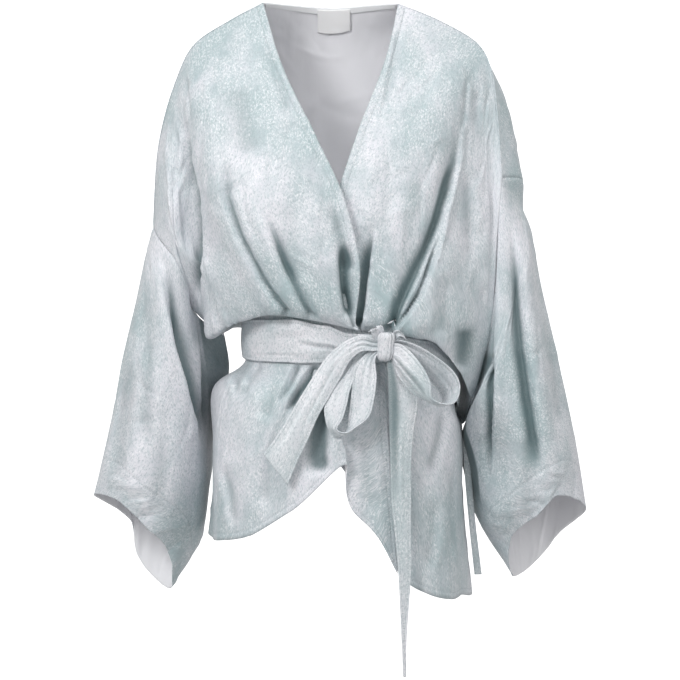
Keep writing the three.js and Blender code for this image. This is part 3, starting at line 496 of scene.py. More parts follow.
# Small creases: dents at seeded places, long along the cloth. Lengths in millimetres.
SMALL_CREASES = {"every": 900, "length": (14, 46), "width": (2.5, 7), "depth": (0.3, 1.3), "turn": 0.6}
CREASE_SEEDS = {"front_right": 3, "front_left": 4, "back": 5, "sleeve_right": 6, "sleeve_left": 7}
# Grooves at sewn edges, in millimetres, and how far folds keep from the seams, in steps of the cloth
SEAM_GROOVE = {"reach": 3.2, "drop": 0.9}
SEAM_FADE = 3
# The side that a panel's folds show on
FRONT = -1
REAR = 1


def beside_path(path, x, z):
    """Distance from a path, negative on its -X side, and the share of the path that is passed."""
    best = np.full(x.shape, np.inf)
    side = np.ones(x.shape)
    along = np.zeros(x.shape)
    for i, ((x0, z0), (x1, z1)) in enumerate(zip(path[:-1], path[1:])):
        dx, dz = x1 - x0, z1 - z0
        t = np.clip(((x - x0) * dx + (z - z0) * dz) / (dx * dx + dz * dz), 0, 1)
        off_x, off_z = x - x0 - dx * t, z - z0 - dz * t
        distance = np.hypot(off_x, off_z)
        nearer = distance < best
        best = np.where(nearer, distance, best)
        side = np.where(nearer, np.where(dx * off_z - dz * off_x >= 0, 1, -1), side)
        along = np.where(nearer, (i + t) / (len(path) - 1), along)
    return best * side, along


def fold_height(fold, x, z):
    """How far one fold moves the cloth along its normal."""
    lean, soft, sharp, depth, rise, spread, path = fold
    distance, along = beside_path(path, x, z)
    ends = smooth(along, 0, FOLD_END) * smooth(1 - along, 0, FOLD_END)
    s = distance * lean
    dip = np.exp(-((s / np.where(s < 0, soft, sharp)) ** 2))
    past_dip = (s - sharp - spread / 2) / spread
    swell = np.where(s > 0, np.exp(-(past_dip**2)), 0) * smooth(s, 0, 2 * sharp)
    return ends * (rise * swell - depth * dip)


def seam_share(shape, seams, reach_rows, reach_columns):
    """Folds fade out at the sewn edges of a panel."""
    rows, columns = shape
    r, c = np.mgrid[0:rows, 0:columns]
    share = np.ones(shape)
    if "top" in seams:
        share *= smooth(r, 0, reach_rows)
    if "first" in seams:
        share *= smooth(c, 0, reach_columns)
    if "last" in seams:
        share *= smooth(columns - 1 - c, 0, reach_columns)
    return share


def clear_of_sash(grid, reach):
    """Folds die out where the sash presses the cloth to the waist."""
    x, y = grid[..., 0] - WAIST["x"], grid[..., 1] - WAIST["y"]
    angle = np.degrees(np.arctan2(x, -y))
    off = np.abs(grid[..., 2] - sash_height(angle))
    power = WAIST["squareness"]
    across = np.abs(x / WAIST["half_width"]) ** power
    through = np.abs(y / WAIST["half_depth"]) ** power
    from_waist = ((across + through) ** (1 / power) - 1) * WAIST["half_depth"]
    past_sash = smooth(off, half_sash(angle), half_sash(angle) + reach)
    return np.maximum(past_sash, smooth(from_waist, *OFF_WAIST))


def small_creases(grid, seed):
    """Many shallow dents and ridges, mostly along the grain."""
    draw = np.random.default_rng(seed)
    u, v = flat_place(grid)
    count = int((u.max() - u.min()) * (v.max() - v.min()) / SMALL_CREASES["every"])
    height = np.zeros(u.shape)
    for _ in range(count):
        row, column = draw.integers(0, u.shape[0]), draw.integers(0, u.shape[1])
        length = draw.uniform(*SMALL_CREASES["length"])
        width = draw.uniform(*SMALL_CREASES["width"])
        depth = draw.uniform(*SMALL_CREASES["depth"]) * draw.choice([-1, -1, 1])
        turn = draw.normal(0, SMALL_CREASES["turn"])
        du, dv = u - u[row, column], v - v[row, column]
        near = (np.abs(du) < 3 * length) & (np.abs(dv) < 3 * length)
        along = dv[near] * math.cos(turn) + du[near] * math.sin(turn)
        across = du[near] * math.cos(turn) - dv[near] * math.sin(turn)
        height[near] += depth * np.exp(-((along / length) ** 2) - (across / width) ** 2)
    return height


def fold_panel(grid, folds, facing, outside, closed, seams):
    """Moves a panel's points by its folds, and says how deep in a fold each point lies."""
    normal = normals_of(grid, closed, outside)
    share = seams * smooth(normal[..., 1] * facing, 0, 0.5)
    height = sum(fold_height(fold, grid[..., 0], grid[..., 2]) for fold in folds) * share
    swell_share = clear_of_sash(grid, SWELL_REACH)
    dip_share = clear_of_sash(grid, DIP_REACH)
    height = height * np.where(height > 0, swell_share, dip_share)
    grid += normal * height[..., None]
    return np.maximum(-height, 0)


def crumple_panel(grid, seed, outside, closed, seams):
    """Moves a panel's points by small creases of its own."""
    normal = normals_of(grid, closed, outside)
    height = small_creases(grid, seed) * seams * clear_of_sash(grid, SWELL_REACH)
    grid += normal * height[..., None]


def groove(grid, outside, closed, edges):
    """The cloth dips a little towards its sewn edges."""
    normal = normals_of(grid, closed, outside)
    across, down = arc_length(grid, 1), arc_length(grid, 0)
    to_edge = {
        "top": down,
        "first": across,
        "last": across[:, -1:] - across,
    }
    for edge in edges:
        drop = SEAM_GROOVE["drop"] * np.exp(-((to_edge[edge] / SEAM_GROOVE["reach"]) ** 2))
        grid -= normal * drop[..., None]


def across_rows(table, upper, at_sash, places):
    """The rows of a body panel from the top to the hem, each smooth across at the given places."""
    rows = [stations(table[name]) for name in upper]
    rows += at_sash
    rows += [stations(table[name]) for name in ("flare", "hip", "hem")]
    return spline(np.array(rows).transpose(1, 0, 2), places).transpose(1, 0, 2)


front_places = np.linspace(0, 1, FRONT_COLUMNS * FINE["front_columns"] + 1)


def front_grid(table, offset):
    """A front's points. The offset says how far it stands off the waist at each angle."""
    at_sash = sash_rows(table["sash_top"], table["sash_bottom"], offset, table["turn_out"])
    upper = ("shoulder", "yoke", "chest", "bust", "ribs", "blouse")
    rows = across_rows(table, upper, at_sash, front_places)
    return down_columns(rows, FRONT_ARM_STEPS + LOWER_STEPS, FINE["rows"])


# The lap: its place across as a share of the row, its width, how far it shifts, and its reach in steps
HEM_LAP = {"column": 0.2, "width": 0.055, "shift": (13, -5, 19), "reach": 5, "gain": 1.65}


def lap_hem(grid):
    """The lap in the right front's hem, where its point is folded behind the rest."""
    last = len(grid) - 1
    strength = smooth(np.arange(len(grid)), last - HEM_LAP["reach"] * FINE["rows"], last)[:, None, None]
    s = (np.linspace(0, 1, grid.shape[1]) - HEM_LAP["column"]) / HEM_LAP["width"]
    lap = (HEM_LAP["gain"] * s * np.exp(-s * s / 2))[None, :, None]
    grid += np.array(HEM_LAP["shift"]) * lap * strength


def panel_seams(grid, seams, columns_fine):
    """How far folds may move each point of a body panel."""
    return seam_share(grid.shape[:2], seams, SEAM_FADE * FINE["rows"], SEAM_FADE * columns_fine)


right_front = front_grid(RIGHT_FRONT, wrap_offset)
lap_hem(right_front)
left_front = front_grid(LEFT_FRONT, lambda degrees: 0 * degrees)

# The back takes its top row from the fronts' shoulder seams and the neck, and its side seams from theirs
SHOULDER_COLUMNS = FRONT_COLUMNS * FINE["back_columns"]
SIDE_BLEND = 4


def shoulder_line(front):
    """A front's shoulder seam with the columns of the back."""
    at = np.linspace(0, 1, SHOULDER_COLUMNS + 1)
    return np.stack([np.interp(at, front_places, front[0, :, axis]) for axis in range(3)], -1)


neck_steps = np.linspace(0, 1, NECK_COLUMNS * FINE["back_columns"] + 1)
neck = spline(stations(NECK_BACK)[:, None], neck_steps)[1:-1, 0]
back_top = np.concatenate([shoulder_line(right_front)[::-1], neck, shoulder_line(left_front)])


def back_grid():
    """The back's points, its side seams moved to the fronts' with the cloth beside them."""
    at_sash = sash_rows(BACK["sash"], BACK["sash"], lambda degrees: 0 * degrees, BACK["turn_out"])
    upper = ("fold", "blades", "chest", "bust", "ribs", "blouse")
    places = np.interp(np.linspace(0, 1, len(back_top)), BACK_KNOTS, np.linspace(0, 1, len(BACK_KNOTS)))
    rows = across_rows(BACK, upper, at_sash, places)
    grid = down_columns([back_top, *rows], BACK_ARM_STEPS + LOWER_STEPS, FINE["rows"])
    reach = SIDE_BLEND * FINE["back_columns"]
    for edge, inward, front in ((0, 1, right_front), (grid.shape[1] - 1, -1, left_front)):
        shift = front[ARM_ROWS:, -1] - grid[ARM_ROWS:, edge]
        for k in range(reach):
            grid[ARM_ROWS:, edge + k * inward] += shift * (1 - k / reach) ** 2
    return grid


back = back_grid()


# Points of a sleeve's ring: their shares of the way from the top to the inner corner and from under the
# arm to the top, how high the points beside the top stand, and the least way back from under the arm
RING = {"top_y": 5, "front": (0.2, 0.6), "rear": (0.28, 0.58, 0.86), "high": (0.8, 0.75), "behind": 6}


def between(start, end, share, y):
    """A point on the way from start to end, at its own depth."""
    point = start + (end - start) * share
    point[1] = y
    return point


def sleeve_grid(table, front, back_edge):
    """A sleeve starts at the armhole of the body pieces, so its first ring is theirs."""
    armhole = np.concatenate([front[: ARM_ROWS + 1, -1], back[1:ARM_ROWS, back_edge][::-1]])
    rounds = np.arange(len(armhole)) / len(armhole)
    rings = []
    for top_x, top_z, crest, in_x, in_y, in_z, under_x, under_y, under_z, rear in table["rings"]:
        top = np.array([top_x, RING["top_y"], top_z], float)
        inner = np.array([in_x, in_y, in_z], float)
        under = np.array([under_x, under_y, under_z], float)
        rings.append([
            top,
            between(top, inner, RING["front"][0], -RING["high"][0] * crest),
            between(top, inner, RING["front"][1], -crest),
            inner,
            under,
            between(under, top, RING["rear"][0], max(rear, under_y + RING["behind"])),
            between(under, top, RING["rear"][1], rear),
            between(under, top, RING["rear"][2], RING["high"][1] * rear),
        ])
    rings.append(stations(table["cuff"]))
    rows = spline(np.array(rings).transpose(1, 0, 2), rounds, closed=True).transpose(1, 0, 2)
    return down_columns([armhole, *rows], SLEEVE_STEPS, FINE["sleeve_rows"])


right_sleeve = sleeve_grid(RIGHT_SLEEVE, right_front, 0)
left_sleeve = sleeve_grid(LEFT_SLEEVE, left_front, -1)

FRONT_SEAMS = ("top", "last")
BACK_SEAMS = ("top", "first", "last")
front_fine, back_fine = FINE["front_columns"], FINE["back_columns"]
front_share = panel_seams(right_front, FRONT_SEAMS, front_fine)
back_share = panel_seams(back, BACK_SEAMS, back_fine)
right_front_deep = fold_panel(right_front, RIGHT_FRONT_FOLDS, FRONT, 1, False, front_share)
left_front_deep = fold_panel(left_front, LEFT_FRONT_FOLDS, FRONT, -1, False, front_share)
back_deep = fold_panel(back, BACK_FOLDS, REAR, 1, False, back_share)
crumple_panel(right_front, CREASE_SEEDS["front_right"], 1, False, front_share)
crumple_panel(left_front, CREASE_SEEDS["front_left"], -1, False, front_share)
crumple_panel(back, CREASE_SEEDS["back"], 1, False, back_share)
groove(right_front, 1, False, FRONT_SEAMS)
groove(left_front, -1, False, FRONT_SEAMS)
groove(back, 1, False, ("first", "last"))


def shaded(grid, outside, shade):
    """How deep in shade each point of a sleeve's inner side lies."""
    side, depth, path = shade
    distance, along = beside_path(path, grid[..., 0], grid[..., 2])
    ends = smooth(along, 0, SHADE["fade_in"]) * smooth(1 - along, 0, SHADE["fade_out"])
    forward = smooth(-normals_of(grid, True, outside)[..., 1], *SHADE["facing"])
    return depth * smooth(distance * side, -SHADE["edge"] / 2, SHADE["edge"] / 2) * ends * forward


def finish_sleeve(name, sleeve, front_folds, back_folds, outside):
    """Folds and creases a sleeve, and says how deep in a fold or in shade each point lies."""
    share = seam_share(sleeve.shape[:2], ("top",), SEAM_FADE * FINE["sleeve_rows"], 1)
    deep = fold_panel(sleeve, front_folds, FRONT, outside, True, share)
    deep = np.maximum(deep, fold_panel(sleeve, back_folds, REAR, outside, True, share))
    crumple_panel(sleeve, CREASE_SEEDS[name], outside, True, share)
    groove(sleeve, outside, True, ("top",))
    return np.maximum(deep, shaded(sleeve, outside, SLEEVE_SHADE[name]))


right_sleeve_deep = finish_sleeve(
    "sleeve_right", right_sleeve, RIGHT_SLEEVE_FOLDS, RIGHT_SLEEVE_BACK_FOLDS, -1
)
left_sleeve_deep = finish_sleeve(
    "sleeve_left", left_sleeve, LEFT_SLEEVE_FOLDS, LEFT_SLEEVE_BACK_FOLDS, 1
)


# The bow. Columns of a ribbon: near edge x, y, z, far edge x, y, z, and how far its middle bows out
LEFT_LOOP = [
    (50, -124, -424, 47, -120, -418, 0),
    (42, -129, -433, 29, -122, -430, -1),
    (43, -138, -458, 17, -130, -446, -3),
    (40, -143, -482, 13, -136, -480, -3),
    (34, -147, -502, 10, -136, -502, -2),
    (19, -150, -514, 6, -136, -521, -1),
    (7, -151, -521, -4, -136, -527, 0),
    (-3, -150, -518, -13, -135, -518, 1),
    (3, -147, -506, -18, -133, -503, 2),
    (8, -143, -490, -18, -130, -486, 2),
    (12, -138, -472, -11, -126, -466, 2),
    (20, -128, -452, 2, -118, -446, 1),
    (32, -116, -430, 26, -113, -414, 0),
    (50, -116, -420, 50, -114, -408, 0),
]
RIGHT_LOOP = [
    (59, -124, -413, 59, -116, -424, 0),
    (72, -126, -413, 68, -115, -424, 0),
    (90, -126, -418, 78, -112, -434, 1),
    (114, -126, -432, 98, -108, -452, 1),
    (135, -128, -450, 116, -106, -470, 1),
    (142, -134, -466, 122, -108, -482, 0),
    (136, -146, -485, 120, -122, -490, 0),
    (123, -152, -487, 112, -134, -488, -1),
    (109, -152, -480, 104, -138, -484, -2),
    (107, -150, -462, 91, -140, -478, -3),
    (94, -146, -438, 76, -136, -464, -3),
    (72, -133, -417, 63, -126, -443, -1),
    (58, -127, -416, 58, -124, -430, 0),
]
SHORT_TAIL = [
    (50, -125, -424, 50, -122, -411, 0),
    (39, -126, -425, 42, -124, -410, 0),
    (25, -127, -426, 27, -124, -406, 2),
    (12, -128, -437, 7, -124, -413, 3),
    (2, -129, -455, -14, -125, -430, 3),
    (-11, -132, -477, -33, -129, -457, 3),
    (-26, -136, -503, -51, -134, -486, 3),
    (-39, -140, -533, -70, -139, -518, 3),
    (-51, -143, -558, -83, -143, -537, 2),
    (-62, -146, -584, -91, -146, -547, 1),
]
LONG_TAIL = [
    (54, -122, -427, 64, -120, -427, 0),
    (56, -125, -441, 76, -121, -439, -1),
    (58, -132, -482, 92, -128, -482, -3),
    (59, -136, -522, 87, -132, -522, -3),
    (60, -138, -562, 84, -134, -562, -2),
    (61, -138, -600, 84, -135, -600, -2),
    (65, -138, -640, 84, -136, -640, -1),
    (69, -138, -686, 84, -136, -686, -1),
    (71, -138, -724, 82, -137, -724, 0),
    (73, -138, -768, 79, -137, -768, 0),
    (75, -138, -812, 78, -137, -812, 0),
]
SIDE_TIE = [
    (150.9, -6, -521, 157, -4, -521, 0),
    (152, -6, -562, 160, -4, -562, 0),
    (158, -6, -634, 166, -4, -634, 0),
    (165, -6, -700, 174, -4, -700, 0),
]

# Folds along a ribbon, by share of its width and of its length.
# Columns: place across at the start and at the end, width, depth, and where along it starts and ends
LEFT_LOOP_FOLDS = [
    (0.25, 0.4, 0.08, 2.2, 0.0, 0.28),
    (0.62, 0.6, 0.1, 1.6, 0.02, 0.36),
    (0.5, 0.35, 0.09, 1.5, 0.3, 0.6),
    (0.55, 0.5, 0.1, 1.8, 0.66, 1.0),
    (0.3, 0.2, 0.07, 1.4, 0.72, 1.0),
]
RIGHT_LOOP_FOLDS = [
    (0.35, 0.2, 0.08, 2.2, 0.0, 0.3),
    (0.68, 0.75, 0.08, 1.8, 0.0, 0.34),
    (0.5, 0.45, 0.09, 1.4, 0.25, 0.52),
    (0.4, 0.6, 0.09, 2.4, 0.66, 1.0),
    (0.7, 0.75, 0.07, 1.8, 0.72, 1.0),
]
SHORT_TAIL_FOLDS = [
    (0.3, 0.45, 0.09, 2.0, 0.0, 0.42),
    (0.68, 0.7, 0.08, 2.2, 0.02, 0.5),
    (0.5, 0.3, 0.08, 1.2, 0.36, 0.8),
    (0.75, 0.8, 0.09, 1.2, 0.55, 0.95),
]
LONG_TAIL_FOLDS = [
    # The first fold cups the tail's near edge, and its depth paints shade there in the crease colour,
    # where the loops and knot shade the tail
    (0.14, 0.16, 0.24, 3.6, 0.0, 0.62),
    (0.4, 0.3, 0.1, 2.2, 0.0, 0.2),
    (0.72, 0.7, 0.08, 2.0, 0.0, 0.26),
    (0.5, 0.55, 0.1, 1.1, 0.2, 0.62),
    (0.3, 0.4, 0.1, 0.8, 0.5, 0.9),
]
# Folds along the sash.
# Columns: angle at the start and end, height above its middle at the start and end, width, depth
SASH_FOLDS = [
    (-24, 16, -2, -8, 3.2, 3.4),
    (0, 21, 12, 4, 3, 1.8),
    (-14, 19, -12, -7, 3, 1.6),
    (-70, -34, 8, 12, 4, 1.1),
    (-58, -16, -18, -17, 2, 1.2),
    (-46, -18, 2, 6, 5, 1.2),
    (34, 62, 2, 8, 4, 2.4),
    (36, 80, -8, -2, 4, 1.8),
    (95, 140, 6, 2, 5, 1.6),
    (120, 175, -8, -12, 4, 1.4),
    (165, 215, 8, 10, 4, 1.4),
    (200, 255, -4, -10, 5, 1.6),
]

# Beside each fold of the sash the cloth stands up by a share of its depth, some widths past its middle
SASH_RIDGE = {"share": 0.5, "past": 1.6}
# A ribbon's fold is shallow, so for its painted crease shade it counts as this much deeper
RIBBON_DEEP = 2.6
# A fold that starts before this share of a ribbon's length rises quickly to its full depth
EARLY = 0.05


def ribbon_grid(table, steps, columns, folds):
    """A ribbon with its folds from its table of edges, and how deep each point lies in a fold, scaled
    for its painted crease shade.
    """
    rows = np.array(table, float)
    at = np.linspace(0, 1, steps + 1)
    edges = spline(rows[:, :6].reshape(-1, 2, 3), at)
    cup = np.interp(at, np.linspace(0, 1, len(rows)), rows[:, 6])
    t = np.linspace(0, 1, columns + 1)[None, :]
    grid = edges[:, :1] + (edges[:, 1:] - edges[:, :1]) * t[..., None]
    height = cup[:, None] * 4 * t * (1 - t)
    deep = np.zeros(height.shape)
    for start, end, width, depth, first, last in folds:
        along = np.clip((at - first) / (last - first), 0, 1)[:, None]
        middle = start + (end - start) * along
        swing = np.sin(math.pi * (np.sqrt(along) if first < EARLY else along))
        dip = depth * swing * np.exp(-(((t - middle) / width) ** 2))
        height = height - dip
        deep = np.maximum(deep, RIBBON_DEEP * dip)
    return grid + normals_of(grid, False, 1) * height[..., None], deep


SASH = {"columns": 480, "rows": 36, "clearance": 0.8, "lift": 2.2, "crown": 1.9, "lowest": -0.4}


def sash_grid():
    """The sash: a ring round the waist, a little crowned, that slants down to the wearer's left."""
    degrees = -90 + 360 * np.arange(SASH["columns"]) / SASH["columns"]
    under_lap = wrap_offset(np.where(degrees > 180, degrees - 360, degrees))
    inner = under_lap + SASH["clearance"] + SASH["lift"]
    width = 2 * half_sash(degrees)
    rows = []
    for t in np.linspace(0, 1, SASH["rows"] + 1):
        height = width * (0.5 - t)
        bulge = SASH["crown"] * (1 - (2 * t - 1) ** 2)
        for first, last, start, end, wide, depth in SASH_FOLDS:
            along = np.clip((degrees - first) / (last - first), 0, 1)
            off = height - (start + (end - start) * along)
            fade = np.sin(math.pi * along)
            past = (off - SASH_RIDGE["past"] * wide) / wide
            bulge = bulge - depth * fade * np.exp(-((off / wide) ** 2))
            bulge = bulge + SASH_RIDGE["share"] * depth * fade * np.exp(-(past**2))
        stands = inner + np.maximum(bulge, SASH["lowest"])
        rows.append(waist(degrees, stands, sash_height(degrees) + height))
    return np.array(rows)


# The knot: a rounded block of cloth wound round the sash, a little wider at the top
KNOT = {"x": 54.5, "z": -420, "y": -126, "half": (10.5, 12.5, 17.5), "columns": 144, "rows": 90}
# Its ends round off late, its waist is drawn in, its plan is a rounded square, and it leans a little
KNOT_SHAPE = {
    "late": 5,
    "round": 3,
    "widen": 0.1,
    "draw_in": 0.08,
    "at": 0.1,
    "over": 0.5,
    "square": 0.8,
    "lean": 1.2,
}
# A crease's share of its depth at the middle of the knot, and what its ends add
CREASE_DEPTH = {"middle": 0.5, "ends": 0.7}
# Columns: angle at the foot and at the top (0 is the front, 90 the wearer's left), width, depth
KNOT_CREASES = [
    (-74, -52, 9, 2.6),
    (-34, -12, 7, 1.4),
    (8, 22, 6, 1.1),
    (46, 40, 9, 2.8),
    (82, 70, 10, 2.2),
    (128, 120, 14, 2.0),
    (-128, -120, 14, 2.0),
]


def rounded(wave):
    """A sine or cosine made squarer."""
    return np.sign(wave) * np.abs(wave) ** KNOT_SHAPE["square"]


def knot_grid():
    """The knot's points, in rings from the foot up, and how deep in a crease each one lies, scaled for
    its painted crease shade.
    """
    angle = np.linspace(-180, 180, KNOT["columns"], endpoint=False)[None, :]
    level = np.linspace(-1, 1, KNOT["rows"] + 1)[1:-1][:, None]
    out = (1 - np.abs(level) ** KNOT_SHAPE["late"]) ** (1 / KNOT_SHAPE["round"])
    drawn_in = np.exp(-(((level - KNOT_SHAPE["at"]) / KNOT_SHAPE["over"]) ** 2))
    waisted = 1 + KNOT_SHAPE["widen"] * level - KNOT_SHAPE["draw_in"] * drawn_in
    dent = np.zeros((KNOT["rows"] - 1, KNOT["columns"]))
    for foot, top, width, depth in KNOT_CREASES:
        middle = foot + (top - foot) * (level + 1) / 2
        away = (angle - middle + 180) % 360 - 180
        share = CREASE_DEPTH["middle"] + CREASE_DEPTH["ends"] * level**2
        dent += depth * share * np.exp(-((away / width) ** 2))
    half_x, half_y, half_z = KNOT["half"]
    a = np.radians(angle)
    lean = KNOT_SHAPE["lean"] * level
    x = KNOT["x"] + lean + (half_x * out * waisted - dent * out) * rounded(np.sin(a))
    y = KNOT["y"] - (half_y * out * waisted - dent * out) * rounded(np.cos(a))
    z = KNOT["z"] + half_z * level + 0 * a
    return np.stack([x, y, z], -1), RIBBON_DEEP * dent


# Ends of the sash's gathers that stand up beside the knot, as ribbons
KNOT_TUFTS = [
    [
        (50, -120, -412, 42, -121, -414, 0), (48, -128, -402, 38, -126, -406, 2),
        (44, -132, -398, 36, -127, -401, 2), (40, -129, -400, 33, -123, -403, 1),
    ],
    [
        (52, -118, -410, 46, -122, -412, 0), (52, -127, -398, 44, -129, -401, 2),
        (50, -129, -395, 43, -126, -396, 1), (47, -123, -398, 42, -120, -399, 0),
    ],
    [
        (60, -118, -412, 66, -122, -414, 0), (64, -127, -403, 71, -127, -407, -2),
        (69, -128, -401, 76, -124, -408, -1), (76, -123, -405, 80, -119, -413, 0),
    ],
]
TUFT = {"steps": 36, "columns": 14, "folds": [(0.4, 0.5, 0.14, 1.2, 0.0, 1.0)]}


# Meshes


def write_uv(mesh, name, first, second):
    """Adds a UV map from the two values of each corner."""
    layer = mesh.uv_layers.new(name=name)
    layer.data.foreach_set("uv", np.stack([first, second], -1).astype(np.float32).ravel())


def hem_place(grid, hems):
    """Distance past the nearest row of stitches, and the place along it, in millimetres.

    Hems are named by their edge, with the distance of the stitches from it.
    """
    across, down = arc_length(grid, 1), arc_length(grid, 0)
    from_edge = {
        "left": (across, down),
        "right": (across[:, -1:] - across, down),
        "foot": (down[-1:] - down, across),
        "head": (down, across),
    }
    nearest = np.full(grid.shape[:2], 1e3)
    place = np.zeros(grid.shape[:2])
    for edge, stitched in hems:
        distance, along = from_edge[edge]
        past = distance - stitched
        closer = np.abs(past) < np.abs(nearest)
        nearest = np.where(closer, past, nearest)
        place = np.where(closer, along, place)
    return nearest, place


def cloth_piece(name, grid, outside, closed, looks, thick, hems=(), deep=None):
    """A panel of cloth with a wall.

    The UV map 'cloth' is the point's place on the flat cloth, and 'hem' its distance past the stitches
    and its place along them, all in metres. The attribute 'deep' says how far down in a fold the point
    lies, or how deep in the arm's shade on a sleeve, in millimetres. The satin paints shade from it and
    its wrong side paints light.
    """
    rows, columns = grid.shape[:2]
    deep = np.zeros((rows, columns)) if deep is None else deep
    points = grid.reshape(-1, 3)
    vertex = np.arange(rows * columns).reshape(rows, columns)
    if closed:
        grid = np.concatenate([grid, grid[:, :1]], 1)
        vertex = np.concatenate([vertex, vertex[:, :1]], 1)
    index = np.arange(grid.shape[0] * grid.shape[1]).reshape(grid.shape[:2])
    u, v = flat_place(grid)
    past, along = hem_place(grid, hems)
    corners = (slice(None, -1), slice(1, None))
    order = [(0, 0), (0, 1), (1, 1), (1, 0)]
    if outside < 0:
        order = order[::-1]
    faces = np.stack([vertex[corners[i], corners[j]] for i, j in order], -1).reshape(-1, 4)
    places = np.stack([index[corners[i], corners[j]] for i, j in order], -1).reshape(-1)
    mesh = bpy.data.meshes.new(name)
    mesh.from_pydata((points * MM).tolist(), [], faces.tolist())
    write_uv(mesh, "cloth", u.ravel()[places] * MM, v.ravel()[places] * MM)
    write_uv(mesh, "hem", past.ravel()[places] * MM, along.ravel()[places] * MM)
    layer = mesh.attributes.new("deep", "FLOAT", "POINT")
    layer.data.foreach_set("value", deep.ravel().astype(np.float32))
    piece = bpy.data.objects.new(name, mesh)
    bpy.context.scene.collection.objects.link(piece)
    for look in looks:
        mesh.materials.append(look)
    mesh.polygons.foreach_set("use_smooth", [True] * len(mesh.polygons))
    if thick:
        wall = piece.modifiers.new("wall", "SOLIDIFY")
        wall.thickness = thick * MM
        wall.offset = -1
        wall.material_offset = len(looks) - 1
        apply_modifiers(piece)
    return piece


def close_ends(piece, columns):
    """Closes the first and the last ring of a round piece with a fan each."""
    mesh = piece.data
    body = bmesh.new()
    body.from_mesh(mesh)
    vertices = list(body.verts)
    for loop in (vertices[:columns], vertices[-columns:]):
        tip = body.verts.new(sum((vertex.co for vertex in loop), Vector()) / columns)
        for a, b in zip(loop, loop[1:] + loop[:1]):
            body.faces.new((a, b, tip)).smooth = True
    bmesh.ops.recalc_face_normals(body, faces=body.faces)
    body.to_mesh(mesh)
    body.free()


def apply_modifiers(piece):
    """Applies every modifier, with only this piece selected."""
    bpy.ops.object.select_all(action="DESELECT")
    bpy.context.view_layer.objects.active = piece
    piece.select_set(True)
    for modifier in list(piece.modifiers):
        bpy.ops.object.modifier_apply(modifier=modifier.name)
    piece.select_set(False)


# Looks

class Look:
    """A material and the nodes it is made of."""

    def __init__(self, name):
        self.material = bpy.data.materials.new(name)
        self.material.use_nodes = True
        self.tree = self.material.node_tree
        self.shader = self.tree.nodes["Principled BSDF"]

    def node(self, kind, inputs=None, **settings):
        """Adds a node, sets it up and feeds its inputs."""
        node = self.tree.nodes.new(kind)
        for key, value in settings.items():
            setattr(node, key, value)
        for key, value in (inputs or {}).items():
            self.feed(node.inputs[key], value)
        return node

    def feed(self, socket, value):
        """Joins a socket to another node's output, or gives it a plain value."""
        if isinstance(value, bpy.types.NodeSocket):
            self.tree.links.new(value, socket)
        elif isinstance(value, tuple) and len(value) == 3 and socket.type == "RGBA":
            socket.default_value = (*value, 1)
        else:
            socket.default_value = value

    def math(self, operation, a, b=0.0):
        return self.node("ShaderNodeMath", {0: a, 1: b}, operation=operation).outputs[0]

    def times(self, a, b):
        return self.math("MULTIPLY", a, b)

    def plus(self, a, b):
        return self.math("ADD", a, b)

    def step(self, value, low, high):
        """0 below low, 1 above high."""
        inputs = {"Value": value, "From Min": low, "From Max": high}
        return self.node("ShaderNodeMapRange", inputs, interpolation_type="SMOOTHSTEP").outputs["Result"]

    def mix(self, share, a, b):
        """Colour a, with a share of colour b."""
        node = self.node("ShaderNodeMix", data_type="RGBA")
        self.feed(node.inputs["Factor"], share)
        self.feed(node.inputs[6], a)
        self.feed(node.inputs[7], b)
        return node.outputs[2]

    def deep(self):
        """How deep in a fold, or in the arm's shade, the point lies, in millimetres. The satin paints
        shade from it, its wrong side paints light.
        """
        return self.node("ShaderNodeAttribute", attribute_name="deep").outputs["Fac"]

    def place(self, uv_map=None):
        """Where the point lies: on a UV map, or in space."""
        if uv_map:
            return self.node("ShaderNodeUVMap", uv_map=uv_map).outputs[0]
        return self.node("ShaderNodeTexCoord").outputs["Object"]

    def stretch(self, place, scale, move=(0, 0, 0)):
        """A place scaled along its axes, and moved so that two pieces differ."""
        inputs = {"Vector": place, "Scale": scale, "Location": move}
        return self.node("ShaderNodeMapping", inputs).outputs[0]

    def noise(self, place, detail=2.0, rough=0.5, warp=0.0, output="Fac"):
        inputs = {"Vector": place, "Scale": 1.0, "Detail": detail}
        inputs.update({"Roughness": rough, "Distortion": warp})
        return self.node("ShaderNodeTexNoise", inputs).outputs[output]

    def cracks(self, place):
        """The distance to the nearest edge of a net of cells."""
        inputs = {"Vector": place, "Scale": 1.0}
        return self.node("ShaderNodeTexVoronoi", inputs, feature="DISTANCE_TO_EDGE").outputs["Distance"]

    def bump(self, height, distance, strength, under=None):
        inputs = {"Height": height, "Distance": distance, "Strength": strength}
        if under is not None:
            inputs["Normal"] = under
        return self.node("ShaderNodeBump", inputs).outputs["Normal"]

    def set(self, **values):
        """Feeds the shader's inputs by name, with an underscore for each space."""
        for name, value in values.items():
            self.feed(self.shader.inputs[name.replace("_", " ")], value)


LILAC = (0.76, 0.76, 0.81)
SAGE = (0.4, 0.5, 0.52)
SASH_LILAC = (0.78, 0.77, 0.81)
SASH_SAGE = (0.5, 0.58, 0.6)
FLECK = (0.36, 0.42, 0.45)
PALE = (0.95, 0.95, 0.97)
# Painted shade: the dark colour of the bottom of folds and of the sleeves' shaded inner sides
PAINTED_CREASE_SHADE = (0.085, 0.14, 0.15)
WRONG_SIDE = (0.95, 0.95, 0.98)
WRONG_SIDE_WASH = (0.8, 0.83, 0.85)
THREAD = (0.36, 0.42, 0.44)
